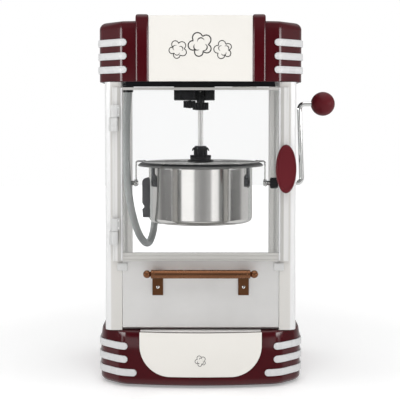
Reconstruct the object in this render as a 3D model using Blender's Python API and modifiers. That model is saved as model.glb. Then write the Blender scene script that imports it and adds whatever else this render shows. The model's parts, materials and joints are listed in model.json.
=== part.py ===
"""Table-top popcorn maker: a clear cabinet with a tilting kettle that hangs under a motor head.

Metres, +Z up. The origin is the centre of the pad pressed into the base plate's underside, the
front faces -Y, and the crank is on the +X side.
"""

import math

import bmesh
import bpy
from mathutils import Matrix, Vector

# Fits and fineness
GAP = 0.0003  # left between pieces that touch
WELD = 0.000001
SEGMENTS = 28  # sides of a turned piece
ARC_STEP = math.radians(15)

# Base and head share one plan: a bowed front, cut corners and a flat back.
HALF_WIDTH = 0.136
FRONT = -0.130
BACK = 0.122
BOW_RADIUS = 0.500
CHEEK_X = 0.1055  # where the bowed front turns into the cut corner
BACK_ROUND = 0.012
WALL = 0.0025
BASE_TOP = 0.071
HEAD_BOTTOM = 0.402
HEAD_TOP = 0.4815
ROOF_TOP = 0.486
RIDGE_TOP = 0.490
PLATE = 0.0015
PLATE_LOW = 0.0005  # the base plate's underside, round its centre pad
PAD_RADIUS = 0.022
FOOT_HEIGHT = 0.004
FOOT_X = 0.105
FOOT_YS = (("front", -0.085), ("rear", 0.095))
HANDS = (("left", -1), ("right", 1))

# Raised bars and the panels between them
RIDGE_INNER = 0.0682
RIDGE_OUTER = 0.0852
RIDGE_PROUD = 0.006
HEAD_PANEL_TOP = 0.488
BASE_PANEL_HALF = 0.081
BASE_PANEL_LOW = 0.012
BASE_PANEL_ROUND = 0.041
PANEL_THICK = 0.002

# White strips on the corners
STRIP_HEIGHT = 0.0093
STRIP_THICK = 0.0018
STRIP_FRONT_X = 0.097
STRIP_LONG_X = 0.085
STRIP_SIDE_Y = -0.030
HEAD_STRIPS = (0.4178, 0.4356, 0.4536)
BASE_STRIPS = (0.0160, 0.0335, 0.0510)
PEG_Y = STRIP_SIDE_Y - 0.020
PEG_RADIUS = 0.0025
SPINE_HALF = 0.004

# Back of the head
ROCKERS = (("light_rocker", 0.070), ("kettle_rocker", 0.095))
ROCKER_Z = 0.450
MAINS_GLAND = (-0.095, 0.425)

# Cabinet
POST_OUT = 0.1275
POST_IN = 0.1046
POST_FRONT = -0.1125
POST_BACK = 0.1145
POST_ROUND = 0.010
GROOVE = 0.003
GLASS_IN = 0.1115
GLASS_THICK = 0.0025
REAR_GLASS_Y = 0.1065
BUSH_NECK = 0.0052  # where a pivot bush goes through its pane
TRAY_TOP = 0.085
TRAY_HALF = 0.1040
TRAY_Y = (-0.0995, 0.1040)
TRAY_SHEET = 0.0012
TRAY_PITCH = 0.034
TRAY_HOLE = 0.0035

# Door, hinged at the left
DOOR_HALF = 0.1166
DOOR_LOW = 0.1645
DOOR_HIGH = 0.3945
DOOR_FRONT = -0.1190
DOOR_REAR = -0.1135
STILE = 0.0120
TOP_RAIL = 0.0035
BOTTOM_RAIL = 0.0110
DOOR_AXIS = (-0.1135, -0.1240)
KNUCKLE = 0.0045
HINGE_PIN = 0.0016
HINGE_LOWS = (0.1870, 0.3366)  # foot of each post knuckle
HINGE_HALF = 0.0180  # height of each knuckle
DOOR_KNOB = (0.1120, 0.2874)
DOOR_KNOB_HALF = (0.0136, 0.0320)

# Flap, hinged along its lower edge
FLAP_HALF = 0.1040
FLAP_HIGH = 0.1635
FLAP_SHEET = 0.0015
FLAP_AXIS = (-0.1072, 0.0762)
FLAP_ROD = 0.0020
HANDLE_AXIS = (-0.1315, 0.1490)
HANDLE_RADIUS = 0.00575
HANDLE_HALF = 0.0648
FINIAL = 0.0052
BRACKET_X = (0.0499, 0.0642)
BRACKET_LOW = 0.1183
TAB_X = (0.0973, 0.1108)
TAB_Z = (0.1511, 0.1614)

# Kettle
KETTLE_Y = 0.012
PIVOT_Z = 0.260
POT_RADIUS = 0.0745
POT_WALL = 0.0012
POT_LOW = 0.2045
POT_FLOOR = 0.2165
POT_TOP = 0.2842
RIM_RADIUS = 0.0900
RIM_HOLE = 0.0715
RIM_TOP = 0.2900
CROSS_BAR = 0.0140  # half its width
LID_RADIUS = 0.0845
LID_SHEET = 0.0012
HUB_HIGH = 0.3137
HUB_CUT = 0.0218
SHAFT_RADIUS = 0.0037
ARM_REACH = 0.055
RUNNING = 0.0003
HANGER_X = 0.0931
SCREW_X = 0.0813
PIVOT_RADIUS = 0.0035
PIVOT_INNER = 0.0905
EYE_RADIUS = 0.0055

# Drive
GEAR_MODULE = 0.0013
MOTOR_TEETH = 12
SHAFT_TEETH = 16
MOTOR_GEAR_X = -0.0159
SHAFT_GEAR_Z = (0.3655, 0.3761)
MOTOR_GEAR_Z = (0.3687, 0.3787)
COLLAR_TOP = 0.3860
MOTOR_HOLE = 0.0029
HOUSING_LOW = 0.3794
HOUSING_X = (-0.0376, 0.0200)
HOUSING_Y = (-0.0200, 0.0450)
SLOT_HALF = 0.0075  # of the open-fronted slot that the shaft tips out of
VALANCE_HALF = 0.0985
VALANCE_LOW = 0.3955
LAMP = (0.065, 0.055)

# Crank
CRANK_RADIUS = 0.0035
CRANK_KNOB = 0.0172
CRANK_ROUTE = ((0.0905, 0.2600), (0.1461, 0.2600), (0.1421, 0.3740), (0.1758, 0.3742))

# Kettle lead
LEAD_RADIUS = 0.0052
GLAND = (-0.1020, -0.0200)
GLAND_LOW = 0.3900
LEAD_ROUTE = (
    (-0.1020, -0.0200, 0.3897),
    (-0.1034, -0.0205, 0.3700),
    (-0.1046, -0.0210, 0.3420),
    (-0.1050, -0.0210, 0.3060),
    (-0.1038, -0.0205, 0.2700),
    (-0.1000, -0.0180, 0.2350),
    (-0.0945, -0.0120, 0.2080),
    (-0.0880, -0.0010, 0.1870),
    (-0.0805, 0.0160, 0.1735),
    (-0.0750, 0.0350, 0.1720),
    (-0.0706, 0.0490, 0.1840),
    (-0.0684, 0.0545, 0.2000),
    (-0.0680, 0.0549, 0.2095),
)
CONNECTOR_Z = (0.2098, 0.2674)
CONNECTOR_ANGLES = (139, 178)
CONNECTOR_OUT = 0.0850

# Colour (linear), roughness, metallic and transmission of each look
LOOKS = {
    "maroon": ((0.085, 0.010, 0.014), 0.22, 0.0, 0.0),
    "cream": ((0.86, 0.84, 0.80), 0.35, 0.0, 0.0),
    "white": ((0.82, 0.82, 0.82), 0.30, 0.0, 0.0),
    "post": ((0.66, 0.65, 0.63), 0.35, 0.3, 0.0),
    "glass": ((0.95, 0.97, 0.97), 0.03, 0.0, 1.0),
    "satin_steel": ((0.62, 0.61, 0.60), 0.38, 1.0, 0.0),
    "polished_steel": ((0.70, 0.69, 0.67), 0.18, 1.0, 0.0),
    "dark_steel": ((0.12, 0.12, 0.13), 0.40, 0.8, 0.0),
    "black": ((0.012, 0.012, 0.013), 0.45, 0.0, 0.0),
    "copper": ((0.34, 0.13, 0.06), 0.30, 1.0, 0.0),
    "rubber": ((0.02, 0.02, 0.02), 0.80, 0.0, 0.0),
    "grey_sleeve": ((0.30, 0.32, 0.33), 0.55, 0.0, 0.0),
}

# A placement turns local Z, the direction of each extrusion and turning axis, to a world axis.
TURNS = {
    "X": Matrix(((0, 0, 1, 0), (1, 0, 0, 0), (0, 1, 0, 0), (0, 0, 0, 1))),
    "Y": Matrix(((1, 0, 0, 0), (0, 0, 1, 0), (0, -1, 0, 0), (0, 0, 0, 1))),
    "-Y": Matrix(((1, 0, 0, 0), (0, 0, -1, 0), (0, 1, 0, 0), (0, 0, 0, 1))),
    "Z": Matrix.Identity(4),
}


def new_collection(name):
    collection = bpy.data.collections.new(name)
    bpy.context.scene.collection.children.link(collection)
    return collection


for old in list(bpy.data.objects):
    bpy.data.objects.remove(old, do_unlink=True)
PARTS = new_collection("popcorn_maker")
CUTTERS = new_collection("cutters")


# ---------------------------------------------------------------- outlines


def arc(centre, radius, start, end, count):
    """Points on an arc, in degrees, with both ends."""
    angles = [math.radians(start + (end - start) * i / count) for i in range(count + 1)]
    return [Vector((centre[0] + radius * math.cos(a), centre[1] + radius * math.sin(a))) for a in angles]


def circle(centre, radius, count=SEGMENTS):
    return arc(centre, radius, 0, 360, count)[:-1]


def rectangle(low, high):
    return [(low[0], low[1]), (high[0], low[1]), (high[0], high[1]), (low[0], high[1])]


def rounded(corners):
    """A closed outline from (x, y, radius) corners, each corner with a radius made into an arc."""
    outline = []
    for i, (x, y, radius) in enumerate(corners):
        here = Vector((x, y))
        if not radius:
            outline.append(here)
            continue
        before = (Vector(corners[i - 1][:2]) - here).normalized()
        after = (Vector(corners[(i + 1) % len(corners)][:2]) - here).normalized()
        half = before.angle(after) / 2
        centre = here + (before + after).normalized() * radius / math.sin(half)
        start = here + before * radius / math.tan(half) - centre
        end = here + after * radius / math.tan(half) - centre
        sweep = start.angle_signed(end)
        count = max(2, round(abs(sweep) / ARC_STEP))
        for step in range(count + 1):
            outline.append(centre + Matrix.Rotation(-sweep * step / count, 2) @ start)
    return outline


def offset(path, distance, closed=True):
    """The path moved to the right of its direction, with mitred corners."""
    moved = []
    last = len(path) - 1
    for i, point in enumerate(path):
        before = path[i - 1] if closed or i > 0 else None
        after = path[(i + 1) % len(path)] if closed or i < last else None
        ways = []
        if before is not None:
            ways.append((point - before).normalized())
        if after is not None:
            ways.append((after - point).normalized())
        normals = [Vector((way.y, -way.x)) for way in ways]
        middle = sum(normals, Vector((0, 0))).normalized()
        moved.append(point + middle * distance / middle.dot(normals[0]))
    return moved


def bow_y(x):
    """Where the bowed front lies at this distance from the middle."""
    return FRONT + BOW_RADIUS - math.sqrt(BOW_RADIUS**2 - x**2)


def plan(cheek_round, side_round):
    """Outline of the base or head from above, counter-clockwise."""
    cheek_y = bow_y(CHEEK_X)
    side_y = cheek_y + HALF_WIDTH - CHEEK_X
    corners = [
        (CHEEK_X, cheek_y, cheek_round),
        (HALF_WIDTH, side_y, side_round),
        (HALF_WIDTH, BACK, BACK_ROUND),
        (-HALF_WIDTH, BACK, BACK_ROUND),
        (-HALF_WIDTH, side_y, side_round),
        (-CHEEK_X, cheek_y, cheek_round),
    ]
    steps = 14
    for i in range(1, steps):
        x = CHEEK_X * (2 * i / steps - 1)
        corners.append((x, bow_y(x), 0))
    return rounded(corners)


def bowed_skin(half, steps):
    """Outline of a sheet on the bowed front, from above."""
    xs = [half * (2 * i / steps - 1) for i in range(steps + 1)]
    front = [Vector((x, bow_y(x))) for x in xs]
    return offset(front, GAP, closed=False) + offset(front, GAP + PANEL_THICK, closed=False)[::-1]


BASE_PLAN = plan(0.030, 0.034)
HEAD_PLAN = plan(0.005, 0.016)


# ---------------------------------------------------------------- solids


def finish(obj, look, axis=None):
    """Gives a piece its own material and, where it moves, hangs it on its joint's empty."""
    colour, roughness, metallic, transmission = LOOKS[look]
    material = bpy.data.materials.new(f"{obj.name}_{look}")
    material.use_nodes = True
    shader = material.node_tree.nodes["Principled BSDF"]
    shader.inputs["Base Color"].default_value = (*colour, 1.0)
    shader.inputs["Roughness"].default_value = roughness
    shader.inputs["Metallic"].default_value = metallic
    shader.inputs["Transmission Weight"].default_value = transmission
    obj.data.materials.clear()
    obj.data.materials.append(material)
    if axis:
        obj.parent = axis
        obj.matrix_parent_inverse = axis.matrix_basis.inverted()
    return obj


def joint_axis(name, place):
    """An empty on a joint's axis, the parent of what turns about it."""
    empty = bpy.data.objects.new(name, None)
    empty.location = place
    PARTS.objects.link(empty)
    return empty


def add_mesh(name, bm):
    mesh = bpy.data.meshes.new(name)
    bm.to_mesh(mesh)
    bm.free()
    obj = bpy.data.objects.new(name, mesh)
    PARTS.objects.link(obj)
    return obj


def as_mesh(curve):
    """The curve object made a mesh object of the same name, with its caps welded."""
    name = curve.name
    curve.name = f"{name}_curve"
    graph = bpy.context.evaluated_depsgraph_get()
    mesh = bpy.data.meshes.new_from_object(curve.evaluated_get(graph))
    bm = bmesh.new()
    bm.from_mesh(mesh)
    bmesh.ops.remove_doubles(bm, verts=bm.verts, dist=WELD)
    bm.normal_update()
    obj = add_mesh(name, bm)
    obj.matrix_world = curve.matrix_world.copy()
    bpy.data.objects.remove(curve)
    bpy.data.meshes.remove(mesh)
    return obj


def prism(name, loops, low, high, along="Z"):
    """Flat outlines extruded from low to high; every loop after the first is a hole.

    The outline's coordinates are (x, y) along Z, (x, z) along Y and (y, z) along X.
    """
    curve = bpy.data.curves.new(name, "CURVE")
    curve.dimensions = "2D"
    curve.fill_mode = "BOTH"
    curve.extrude = (high - low) / 2
    for loop in loops:
        spline = curve.splines.new("POLY")
        spline.points.add(len(loop) - 1)
        for point, (x, y) in zip(spline.points, loop):
            point.co = (x, y, 0, 1)
        spline.use_cyclic_u = True
    obj = bpy.data.objects.new(name, curve)
    PARTS.objects.link(obj)
    middle = (low + high) / 2
    turn = TURNS["-Y" if along == "Y" else along]
    place = {"X": (middle, 0, 0), "Y": (0, middle, 0), "Z": (0, 0, middle)}[along]
    obj.matrix_world = Matrix.Translation(place) @ turn
    bpy.context.view_layer.update()
    return as_mesh(obj)


def turned(name, profile, place, along="Z", closed=False, steps=SEGMENTS):
    """A profile of (radius, height) points, down its outer side, turned about its own Z axis."""
    bm = bmesh.new()
    verts = [bm.verts.new((radius, 0, height)) for radius, height in profile]
    for first, second in zip(verts, verts[1:] + verts[:1] if closed else verts[1:]):
        bm.edges.new((first, second))
    obj = add_mesh(name, bm)
    obj.matrix_world = Matrix.Translation(place) @ TURNS[along]
    screw = obj.modifiers.new("Turn", "SCREW")
    screw.axis = "Z"
    screw.steps = steps
    screw.render_steps = steps
    screw.use_merge_vertices = True
    screw.merge_threshold = WELD
    screw.use_smooth_shade = True
    return obj


def cylinder(name, radius, low, high, centre, along="Z", steps=16):
    """A round bar along an axis; centre holds its two other coordinates, in X, Y, Z order."""
    place = {"X": (0, *centre), "Y": (centre[0], 0, centre[1]), "Z": (*centre, 0)}[along]
    return turned(name, [(0, high), (radius, high), (radius, low), (0, low)], place, along, steps=steps)


def sleeve(name, radius, bore, low, high, centre, along="Z", steps=16):
    """A round tube along an axis, placed like a cylinder."""
    place = {"X": (0, *centre), "Y": (centre[0], 0, centre[1]), "Z": (*centre, 0)}[along]
    profile = [(bore, high), (radius, high), (radius, low), (bore, low)]
    return turned(name, profile, place, along, closed=True, steps=steps)


def box(name, low, high, bevel=0.0):
    """A box between two corners, with all its edges rounded by bevel."""
    bm = bmesh.new()
    bmesh.ops.create_cube(bm, size=1)
    low, high = Vector(low), Vector(high)
    bmesh.ops.scale(bm, vec=high - low, verts=bm.verts)
    if bevel:
        bmesh.ops.bevel(
            bm, geom=bm.edges[:], offset=bevel, segments=2, profile=0.5, affect="EDGES", clamp_overlap=True
        )
    obj = add_mesh(name, bm)
    obj.location = (low + high) / 2
    return obj


def rod(name, points, radius, sides=3):
    """A round rod along a list of points."""
    curve = bpy.data.curves.new(name, "CURVE")
    curve.dimensions = "3D"
    curve.bevel_depth = radius
    curve.bevel_resolution = sides
    curve.use_fill_caps = True
    spline = curve.splines.new("POLY")
    spline.points.add(len(points) - 1)
    for point, place in zip(spline.points, points):
        point.co = (*place, 1)
    obj = bpy.data.objects.new(name, curve)
    PARTS.objects.link(obj)
    return obj


def bent(points, radius, count=6):
    """Straight runs joined by arcs of one bend radius."""
    points = [Vector(point) for point in points]
    path = [points[0]]
    for before, here, after in zip(points, points[1:], points[2:]):
        back, on = (before - here).normalized(), (after - here).normalized()
        half = back.angle(on) / 2
        centre = here + (back + on).normalized() * radius / math.sin(half)
        start = here + back * radius / math.tan(half) - centre
        axis = back.cross(on).normalized()
        for step in range(count + 1):
            angle = (math.pi - 2 * half) * step / count
            path.append(centre + Matrix.Rotation(-angle, 3, axis) @ start)
    return path + [points[-1]]


def smooth(points, per_span=4):
    """A Catmull-Rom curve through the points."""
    points = [Vector(point) for point in points]
    ends = [2 * points[0] - points[1], *points, 2 * points[-1] - points[-2]]
    path = []
    for a, b, c, d in zip(ends, ends[1:], ends[2:], ends[3:]):
        for step in range(per_span):
            t = step / per_span
            turn = (c - a) * t + (2 * a - 5 * b + 4 * c - d) * t**2 + (3 * b - a - 3 * c + d) * t**3
            path.append(b + turn / 2)
    return path + [points[-1]]


def combine(obj, other, operation):
    """Cuts, joins or intersects obj with another mesh object, which becomes a hidden helper."""
    for collection in other.users_collection:
        collection.objects.unlink(other)
    CUTTERS.objects.link(other)
    other.hide_render = True
    other.display_type = "WIRE"
    modifier = obj.modifiers.new(other.name, "BOOLEAN")
    modifier.operation = operation
    modifier.solver = "EXACT"
    modifier.object = other
    return obj


def cut(obj, *cutters):
    for cutter in cutters:
        combine(obj, cutter, "DIFFERENCE")
    return obj


def join(obj, *others):
    for other in others:
        combine(obj, other, "UNION")
    return obj


# ---------------------------------------------------------------- base


def strips(name, outline, heights, fronts, side):
    """Three strips round one front corner, on pegs through the shell to a spine behind it."""
    pieces = []
    for height, front_x in zip(heights, fronts):
        path = [Vector((-front_x, bow_y(front_x)))]
        path += [p for p in reversed(outline) if p.x < -front_x - 0.001 and p.y < STRIP_SIDE_Y]
        path.append(Vector((-HALF_WIDTH, STRIP_SIDE_Y)))
        inner, outer = offset(path, -GAP, closed=False), offset(path, -GAP - STRIP_THICK, closed=False)
        loop = [(side * -p.x, p.y) for p in inner + outer[::-1]]
        low = height - STRIP_HEIGHT / 2
        pieces.append(prism(f"{name}_strip_{len(pieces)}", [loop], low, low + STRIP_HEIGHT))
    inner_x, outer_x = HALF_WIDTH - WALL - 0.0025, HALF_WIDTH + GAP + STRIP_THICK / 2
    pegs = []
    for i, height in enumerate(heights):
        low, high = sorted((side * inner_x, side * outer_x))
        pegs.append(cylinder(f"{name}_peg_{i}", PEG_RADIUS, low, high, (PEG_Y, height), "X", 12))
    spine_x = sorted((side * (inner_x - 0.001), side * (inner_x + 0.001)))
    low = (spine_x[0], PEG_Y - SPINE_HALF, heights[0] - SPINE_HALF)
    high = (spine_x[1], PEG_Y + SPINE_HALF, heights[-1] + SPINE_HALF)
    spine = box(name, low, high)
    join(spine, *pegs, *pieces)
    return finish(spine, "white")


def peg_holes(shell, heights):
    reach = HALF_WIDTH + 0.01
    for i, height in enumerate(heights):
        place = (PEG_Y, height)
        cut(shell, cylinder(f"{shell.name}_peg_hole_{i}", PEG_RADIUS + GAP, -reach, reach, place, "X", 12))


def make_base():
    shell = prism("base_shell", [BASE_PLAN], 0, BASE_TOP)
    cut(shell, prism("base_hollow", [offset(BASE_PLAN, -WALL)], -0.01, BASE_TOP - WALL))
    peg_holes(shell, BASE_STRIPS)
    finish(shell, "maroon")

    plate = prism("base_plate", [offset(BASE_PLAN, -WALL - GAP)], PLATE_LOW, PLATE_LOW + PLATE)
    join(plate, cylinder("centre_pad", PAD_RADIUS, 0, PLATE, (0, 0), steps=32))
    finish(plate, "dark_steel")

    top = PLATE_LOW - GAP
    profile = [(0, top), (0.0110, top), (0.0095, -FOOT_HEIGHT), (0, -FOOT_HEIGHT)]
    for fore_name, y in FOOT_YS:
        for hand_name, hand in HANDS:
            foot = turned(f"foot_{fore_name}_{hand_name}", profile, (hand * FOOT_X, y, 0), steps=20)
            finish(foot, "rubber")

    panel = prism("base_front_panel", [bowed_skin(BASE_PANEL_HALF + 0.009, 18)], 0, BASE_TOP - GAP)
    half, low, radius = BASE_PANEL_HALF, BASE_PANEL_LOW, BASE_PANEL_ROUND
    shape = rounded([(half, 0.1, 0), (-half, 0.1, 0), (-half, low, radius), (half, low, radius)])
    combine(panel, prism("base_panel_shape", [shape], FRONT - 0.01, -0.05, "Y"), "INTERSECT")
    finish(panel, "cream")

    fronts = (STRIP_LONG_X, STRIP_FRONT_X, STRIP_FRONT_X)
    strips("base_grille_left", BASE_PLAN, BASE_STRIPS, fronts, -1)
    strips("base_grille_right", BASE_PLAN, BASE_STRIPS, fronts, 1)


# ---------------------------------------------------------------- cabinet


def post_section(fore, hand):
    """A square section with one round outer corner and grooves for the panes, from above."""
    outer_y = POST_FRONT if fore < 0 else POST_BACK
    inner_y = outer_y - fore * (POST_OUT - POST_IN)
    pane = (GLASS_IN - GAP, GLASS_IN + GLASS_THICK + GAP)
    corners = [(POST_OUT, outer_y, POST_ROUND), (POST_OUT, inner_y, 0)]
    corners += [(pane[1], inner_y, 0), (pane[1], inner_y + fore * GROOVE, 0)]
    corners += [(pane[0], inner_y + fore * GROOVE, 0), (pane[0], inner_y, 0), (POST_IN, inner_y, 0)]
    if fore > 0:
        near, far = REAR_GLASS_Y - GAP, REAR_GLASS_Y + GLASS_THICK + GAP
        corners += [(POST_IN, near, 0), (POST_IN + GROOVE, near, 0)]
        corners += [(POST_IN + GROOVE, far, 0), (POST_IN, far, 0)]
    corners.append((POST_IN, outer_y, 0.001))
    return [(hand * x, y) for x, y in rounded(corners)]


def make_cabinet():
    low, high = BASE_TOP + GAP, HEAD_BOTTOM - GAP
    for fore_name, fore in (("front", -1), ("rear", 1)):
        for hand_name, hand in HANDS:
            post = prism(f"post_{fore_name}_{hand_name}", [post_section(fore, hand)], low, high)
            finish(post, "post")

    depth = POST_OUT - POST_IN - GROOVE + GAP
    outline = rectangle((POST_FRONT + depth, low), (POST_BACK - depth, high))
    hole = circle((KETTLE_Y, PIVOT_Z), BUSH_NECK + GAP, 20)
    for hand_name, hand in HANDS:
        inner, outer = sorted((hand * GLASS_IN, hand * (GLASS_IN + GLASS_THICK)))
        finish(prism(f"side_glass_{hand_name}", [outline, hole], inner, outer, "X"), "glass")
    rear_half = POST_IN + GROOVE - GAP
    rear_low = (-rear_half, REAR_GLASS_Y, low)
    finish(box("rear_glass", rear_low, (rear_half, REAR_GLASS_Y + GLASS_THICK, high)), "glass")

    front, back = TRAY_Y
    pitch = TRAY_PITCH
    holes = [
        # Each row is staggered, and each column a little higher than the last: the fill of a
        # flat outline fails on holes that line up.
        circle((pitch * (column + 0.25 * (-1) ** row), pitch * row + 0.0004 * column), TRAY_HOLE, 6)
        for row in range(-2, 3)
        for column in range(-2, 3)
    ]
    outline = rectangle((-TRAY_HALF, front), (TRAY_HALF, back))
    tray = prism("kernel_tray", [outline, *holes], TRAY_TOP - TRAY_SHEET, TRAY_TOP)
    ring = [rectangle((e - TRAY_HALF, front + e), (TRAY_HALF - e, back - e)) for e in (0.0005, 0.0017)]
    join(tray, prism("tray_skirt", ring, low, TRAY_TOP - TRAY_SHEET / 2))
    finish(tray, "satin_steel")

    # Bushes of the kettle pivots: a flange each side of the pane.
    bore, radius = PIVOT_RADIUS + RUNNING, 0.0073
    inside, outside = GLASS_IN - GAP, GLASS_IN + GLASS_THICK + GAP
    for hand_name, hand, thick, look in (
        ("left", -1, 0.0050, "satin_steel"),
        ("right", 1, 0.0110, "black"),
    ):
        profile = [(bore, outside + 0.003), (radius, outside + 0.003), (radius, outside)]
        profile += [(BUSH_NECK, outside), (BUSH_NECK, inside), (radius, inside)]
        profile += [(radius, inside - thick), (bore, inside - thick)]
        profile = [(r, hand * x) for r, x in profile]
        if hand < 0:
            profile.reverse()
        place = (0, KETTLE_Y, PIVOT_Z)
        bush = turned(f"pivot_bush_{hand_name}", profile, place, "X", closed=True, steps=16)
        finish(bush, look)


# ---------------------------------------------------------------- head


def make_head():
    shell = prism("head_shell", [HEAD_PLAN], HEAD_BOTTOM, HEAD_TOP)
    ridge_front = bow_y(RIDGE_OUTER) - RIDGE_PROUD
    for hand_name, hand in HANDS:
        inner, outer = sorted((hand * RIDGE_INNER, hand * RIDGE_OUTER))
        low = (inner, ridge_front, HEAD_BOTTOM + 0.0002)
        high = (outer, BACK + 0.001, RIDGE_TOP)
        join(shell, box(f"ridge_{hand_name}", low, high, bevel=0.003))
    roof_low = (-RIDGE_INNER - 0.002, bow_y(RIDGE_INNER) + 0.001, HEAD_TOP - 0.01)
    roof_high = (RIDGE_INNER + 0.002, BACK - 0.002, ROOF_TOP)
    join(shell, box("roof", roof_low, roof_high))
    hollow = [offset(HEAD_PLAN, -WALL)]
    cut(shell, prism("head_hollow", hollow, HEAD_BOTTOM - 0.01, HEAD_TOP - WALL))
    peg_holes(shell, HEAD_STRIPS)

    # Two rocker switches and the mains gland in the back wall
    for name, x in ROCKERS:
        low, high = (x - 0.0070, BACK - 0.01), (x + 0.0070, BACK + 0.01)
        cut(shell, box(f"{name}_hole", (*low, ROCKER_Z - 0.0092), (*high, ROCKER_Z + 0.0092)))
        axis = joint_axis(f"{name}_axis", (x, BACK - 0.0055, ROCKER_Z))
        face = [(0.0105, 0.0072), (-0.0020, 0.0060), (-0.0020, -0.0060), (0.0105, -0.0072), (0.0082, 0.0)]
        face = [(axis.location.y + y, axis.location.z + z) for y, z in face]
        finish(prism(name, [face], x - 0.0065, x + 0.0065, "X"), "black", axis)
    gland_x, gland_z = MAINS_GLAND
    gland_place = (gland_x, BACK, gland_z)
    cut(shell, cylinder("mains_gland_hole", 0.0070, BACK - 0.01, BACK + 0.01, MAINS_GLAND, "Y"))
    profile = [(0.0040, 0.008), (0.0075, 0.008), (0.0095, 0.003), (0.0095, GAP), (0.0067, GAP)]
    profile += [(0.0067, -0.0060), (0.0040, -0.0060)]
    finish(turned("mains_gland", profile, gland_place, "Y", closed=True, steps=16), "black")
    finish(shell, "maroon")

    skin = bowed_skin(RIDGE_INNER - GAP, 8)
    finish(prism("head_front_panel", [skin], HEAD_BOTTOM, HEAD_PANEL_TOP), "cream")

    fronts = (STRIP_FRONT_X,) * len(HEAD_STRIPS)
    strips("head_grille_left", HEAD_PLAN, HEAD_STRIPS, fronts, -1)
    strips("head_grille_right", HEAD_PLAN, HEAD_STRIPS, fronts, 1)

    plate = offset(HEAD_PLAN, -WALL - GAP)
    under = prism("head_underside_plate", [plate], HEAD_BOTTOM, HEAD_BOTTOM + PLATE)
    lip_low = (-VALANCE_HALF, POST_FRONT, VALANCE_LOW)
    lip_high = (VALANCE_HALF, POST_FRONT + 0.002, HEAD_BOTTOM + PLATE / 2)
    join(under, box("valance", lip_low, lip_high))
    cut(under, cylinder("plate_shaft_hole", MOTOR_HOLE, 0.39, 0.41, (MOTOR_GEAR_X, motor_gear_y())))
    finish(under, "black")

    top = HEAD_BOTTOM - GAP
    lens = [(0, top), (0.018, top), (0.018, 0.3995), (0.012, 0.3965), (0, 0.3955)]
    finish(turned("lamp_lens", lens, (*LAMP, 0), steps=28), "cream")
    bore = LEAD_RADIUS + 0.0002
    gland = [(bore, top), (0.0080, top), (0.0080, 0.3985), (0.0074, 0.3960), (0.0066, GLAND_LOW)]
    gland += [(bore, GLAND_LOW)]
    finish(turned("lead_gland", gland, (*GLAND, 0), closed=True, steps=20), "black")


# ---------------------------------------------------------------- drive


def motor_gear_y():
    distance = GEAR_MODULE * (MOTOR_TEETH + SHAFT_TEETH) / 2
    return KETTLE_Y + math.sqrt(distance**2 - MOTOR_GEAR_X**2)


def gear_outline(teeth, centre, turn):
    """Trapezoid teeth; turn is the direction of the middle of one tooth, in degrees."""
    pitch = GEAR_MODULE * teeth / 2
    tooth = 360 / teeth
    outer, root = pitch + 0.85 * GEAR_MODULE, pitch - 1.2 * GEAR_MODULE
    outline = []
    for i in range(teeth):
        middle = turn + i * tooth
        for radius, share in ((root, -0.34), (outer, -0.13), (outer, 0.13), (root, 0.34)):
            angle = math.radians(middle + share * tooth)
            point = (centre[0] + radius * math.cos(angle), centre[1] + radius * math.sin(angle))
            outline.append(point)
    return outline


def make_drive():
    motor_y = motor_gear_y()
    centre = (MOTOR_GEAR_X, motor_y)
    way = math.degrees(math.atan2(KETTLE_Y - motor_y, -MOTOR_GEAR_X))

    housing_low = (HOUSING_X[0], HOUSING_Y[0], HOUSING_LOW)
    housing = box("gear_housing", housing_low, (HOUSING_X[1], HOUSING_Y[1], HEAD_BOTTOM - GAP))
    slot_low = (-SLOT_HALF, HOUSING_Y[0] - 0.01, 0.37)
    slot_high = (SLOT_HALF, KETTLE_Y + 0.0085, 0.41)
    cut(housing, box("shaft_slot", slot_low, slot_high))
    cut(housing, cylinder("housing_shaft_hole", MOTOR_HOLE, 0.37, 0.41, centre))
    finish(housing, "black")

    motor = cylinder("drive_motor", 0.020, HEAD_BOTTOM + PLATE + GAP, 0.445, centre, steps=24)
    cut(motor, cylinder("motor_bore", 0.0028, 0.39, 0.413, centre))
    finish(motor, "satin_steel")

    motor_axis = joint_axis("motor_axis", (*centre, MOTOR_GEAR_Z[0]))
    gear = prism("motor_gear", [gear_outline(MOTOR_TEETH, centre, way)], *MOTOR_GEAR_Z)
    join(gear, cylinder("motor_shaft", 0.0025, MOTOR_GEAR_Z[1] - 0.002, 0.412, centre, steps=20))
    finish(gear, "black", motor_axis)

    stirrer_axis = joint_axis("stirrer_axis", (0, KETTLE_Y, POT_TOP))
    middle = (0, KETTLE_Y)
    turn = way + 180 + 180 / SHAFT_TEETH
    gear = prism("shaft_gear", [gear_outline(SHAFT_TEETH, middle, turn)], *SHAFT_GEAR_Z)
    join(gear, cylinder("collar", 0.0058, SHAFT_GEAR_Z[1] - 0.002, COLLAR_TOP, middle))
    cut(gear, cylinder("gear_bore", SHAFT_RADIUS + GAP, 0.36, 0.39, middle, steps=20))
    finish(gear, "black", stirrer_axis)

    low, high = POT_FLOOR + 0.002, COLLAR_TOP - 0.0005
    shaft = cylinder("stirrer_shaft", SHAFT_RADIUS, low, high, middle, steps=20)
    reach, place = ARM_REACH, (KETTLE_Y, POT_FLOOR + 0.005)
    join(shaft, cylinder("stirrer_arms", 0.0020, -reach, reach, place, "X", 12))
    finish(shaft, "polished_steel", stirrer_axis)


# ---------------------------------------------------------------- door


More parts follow.
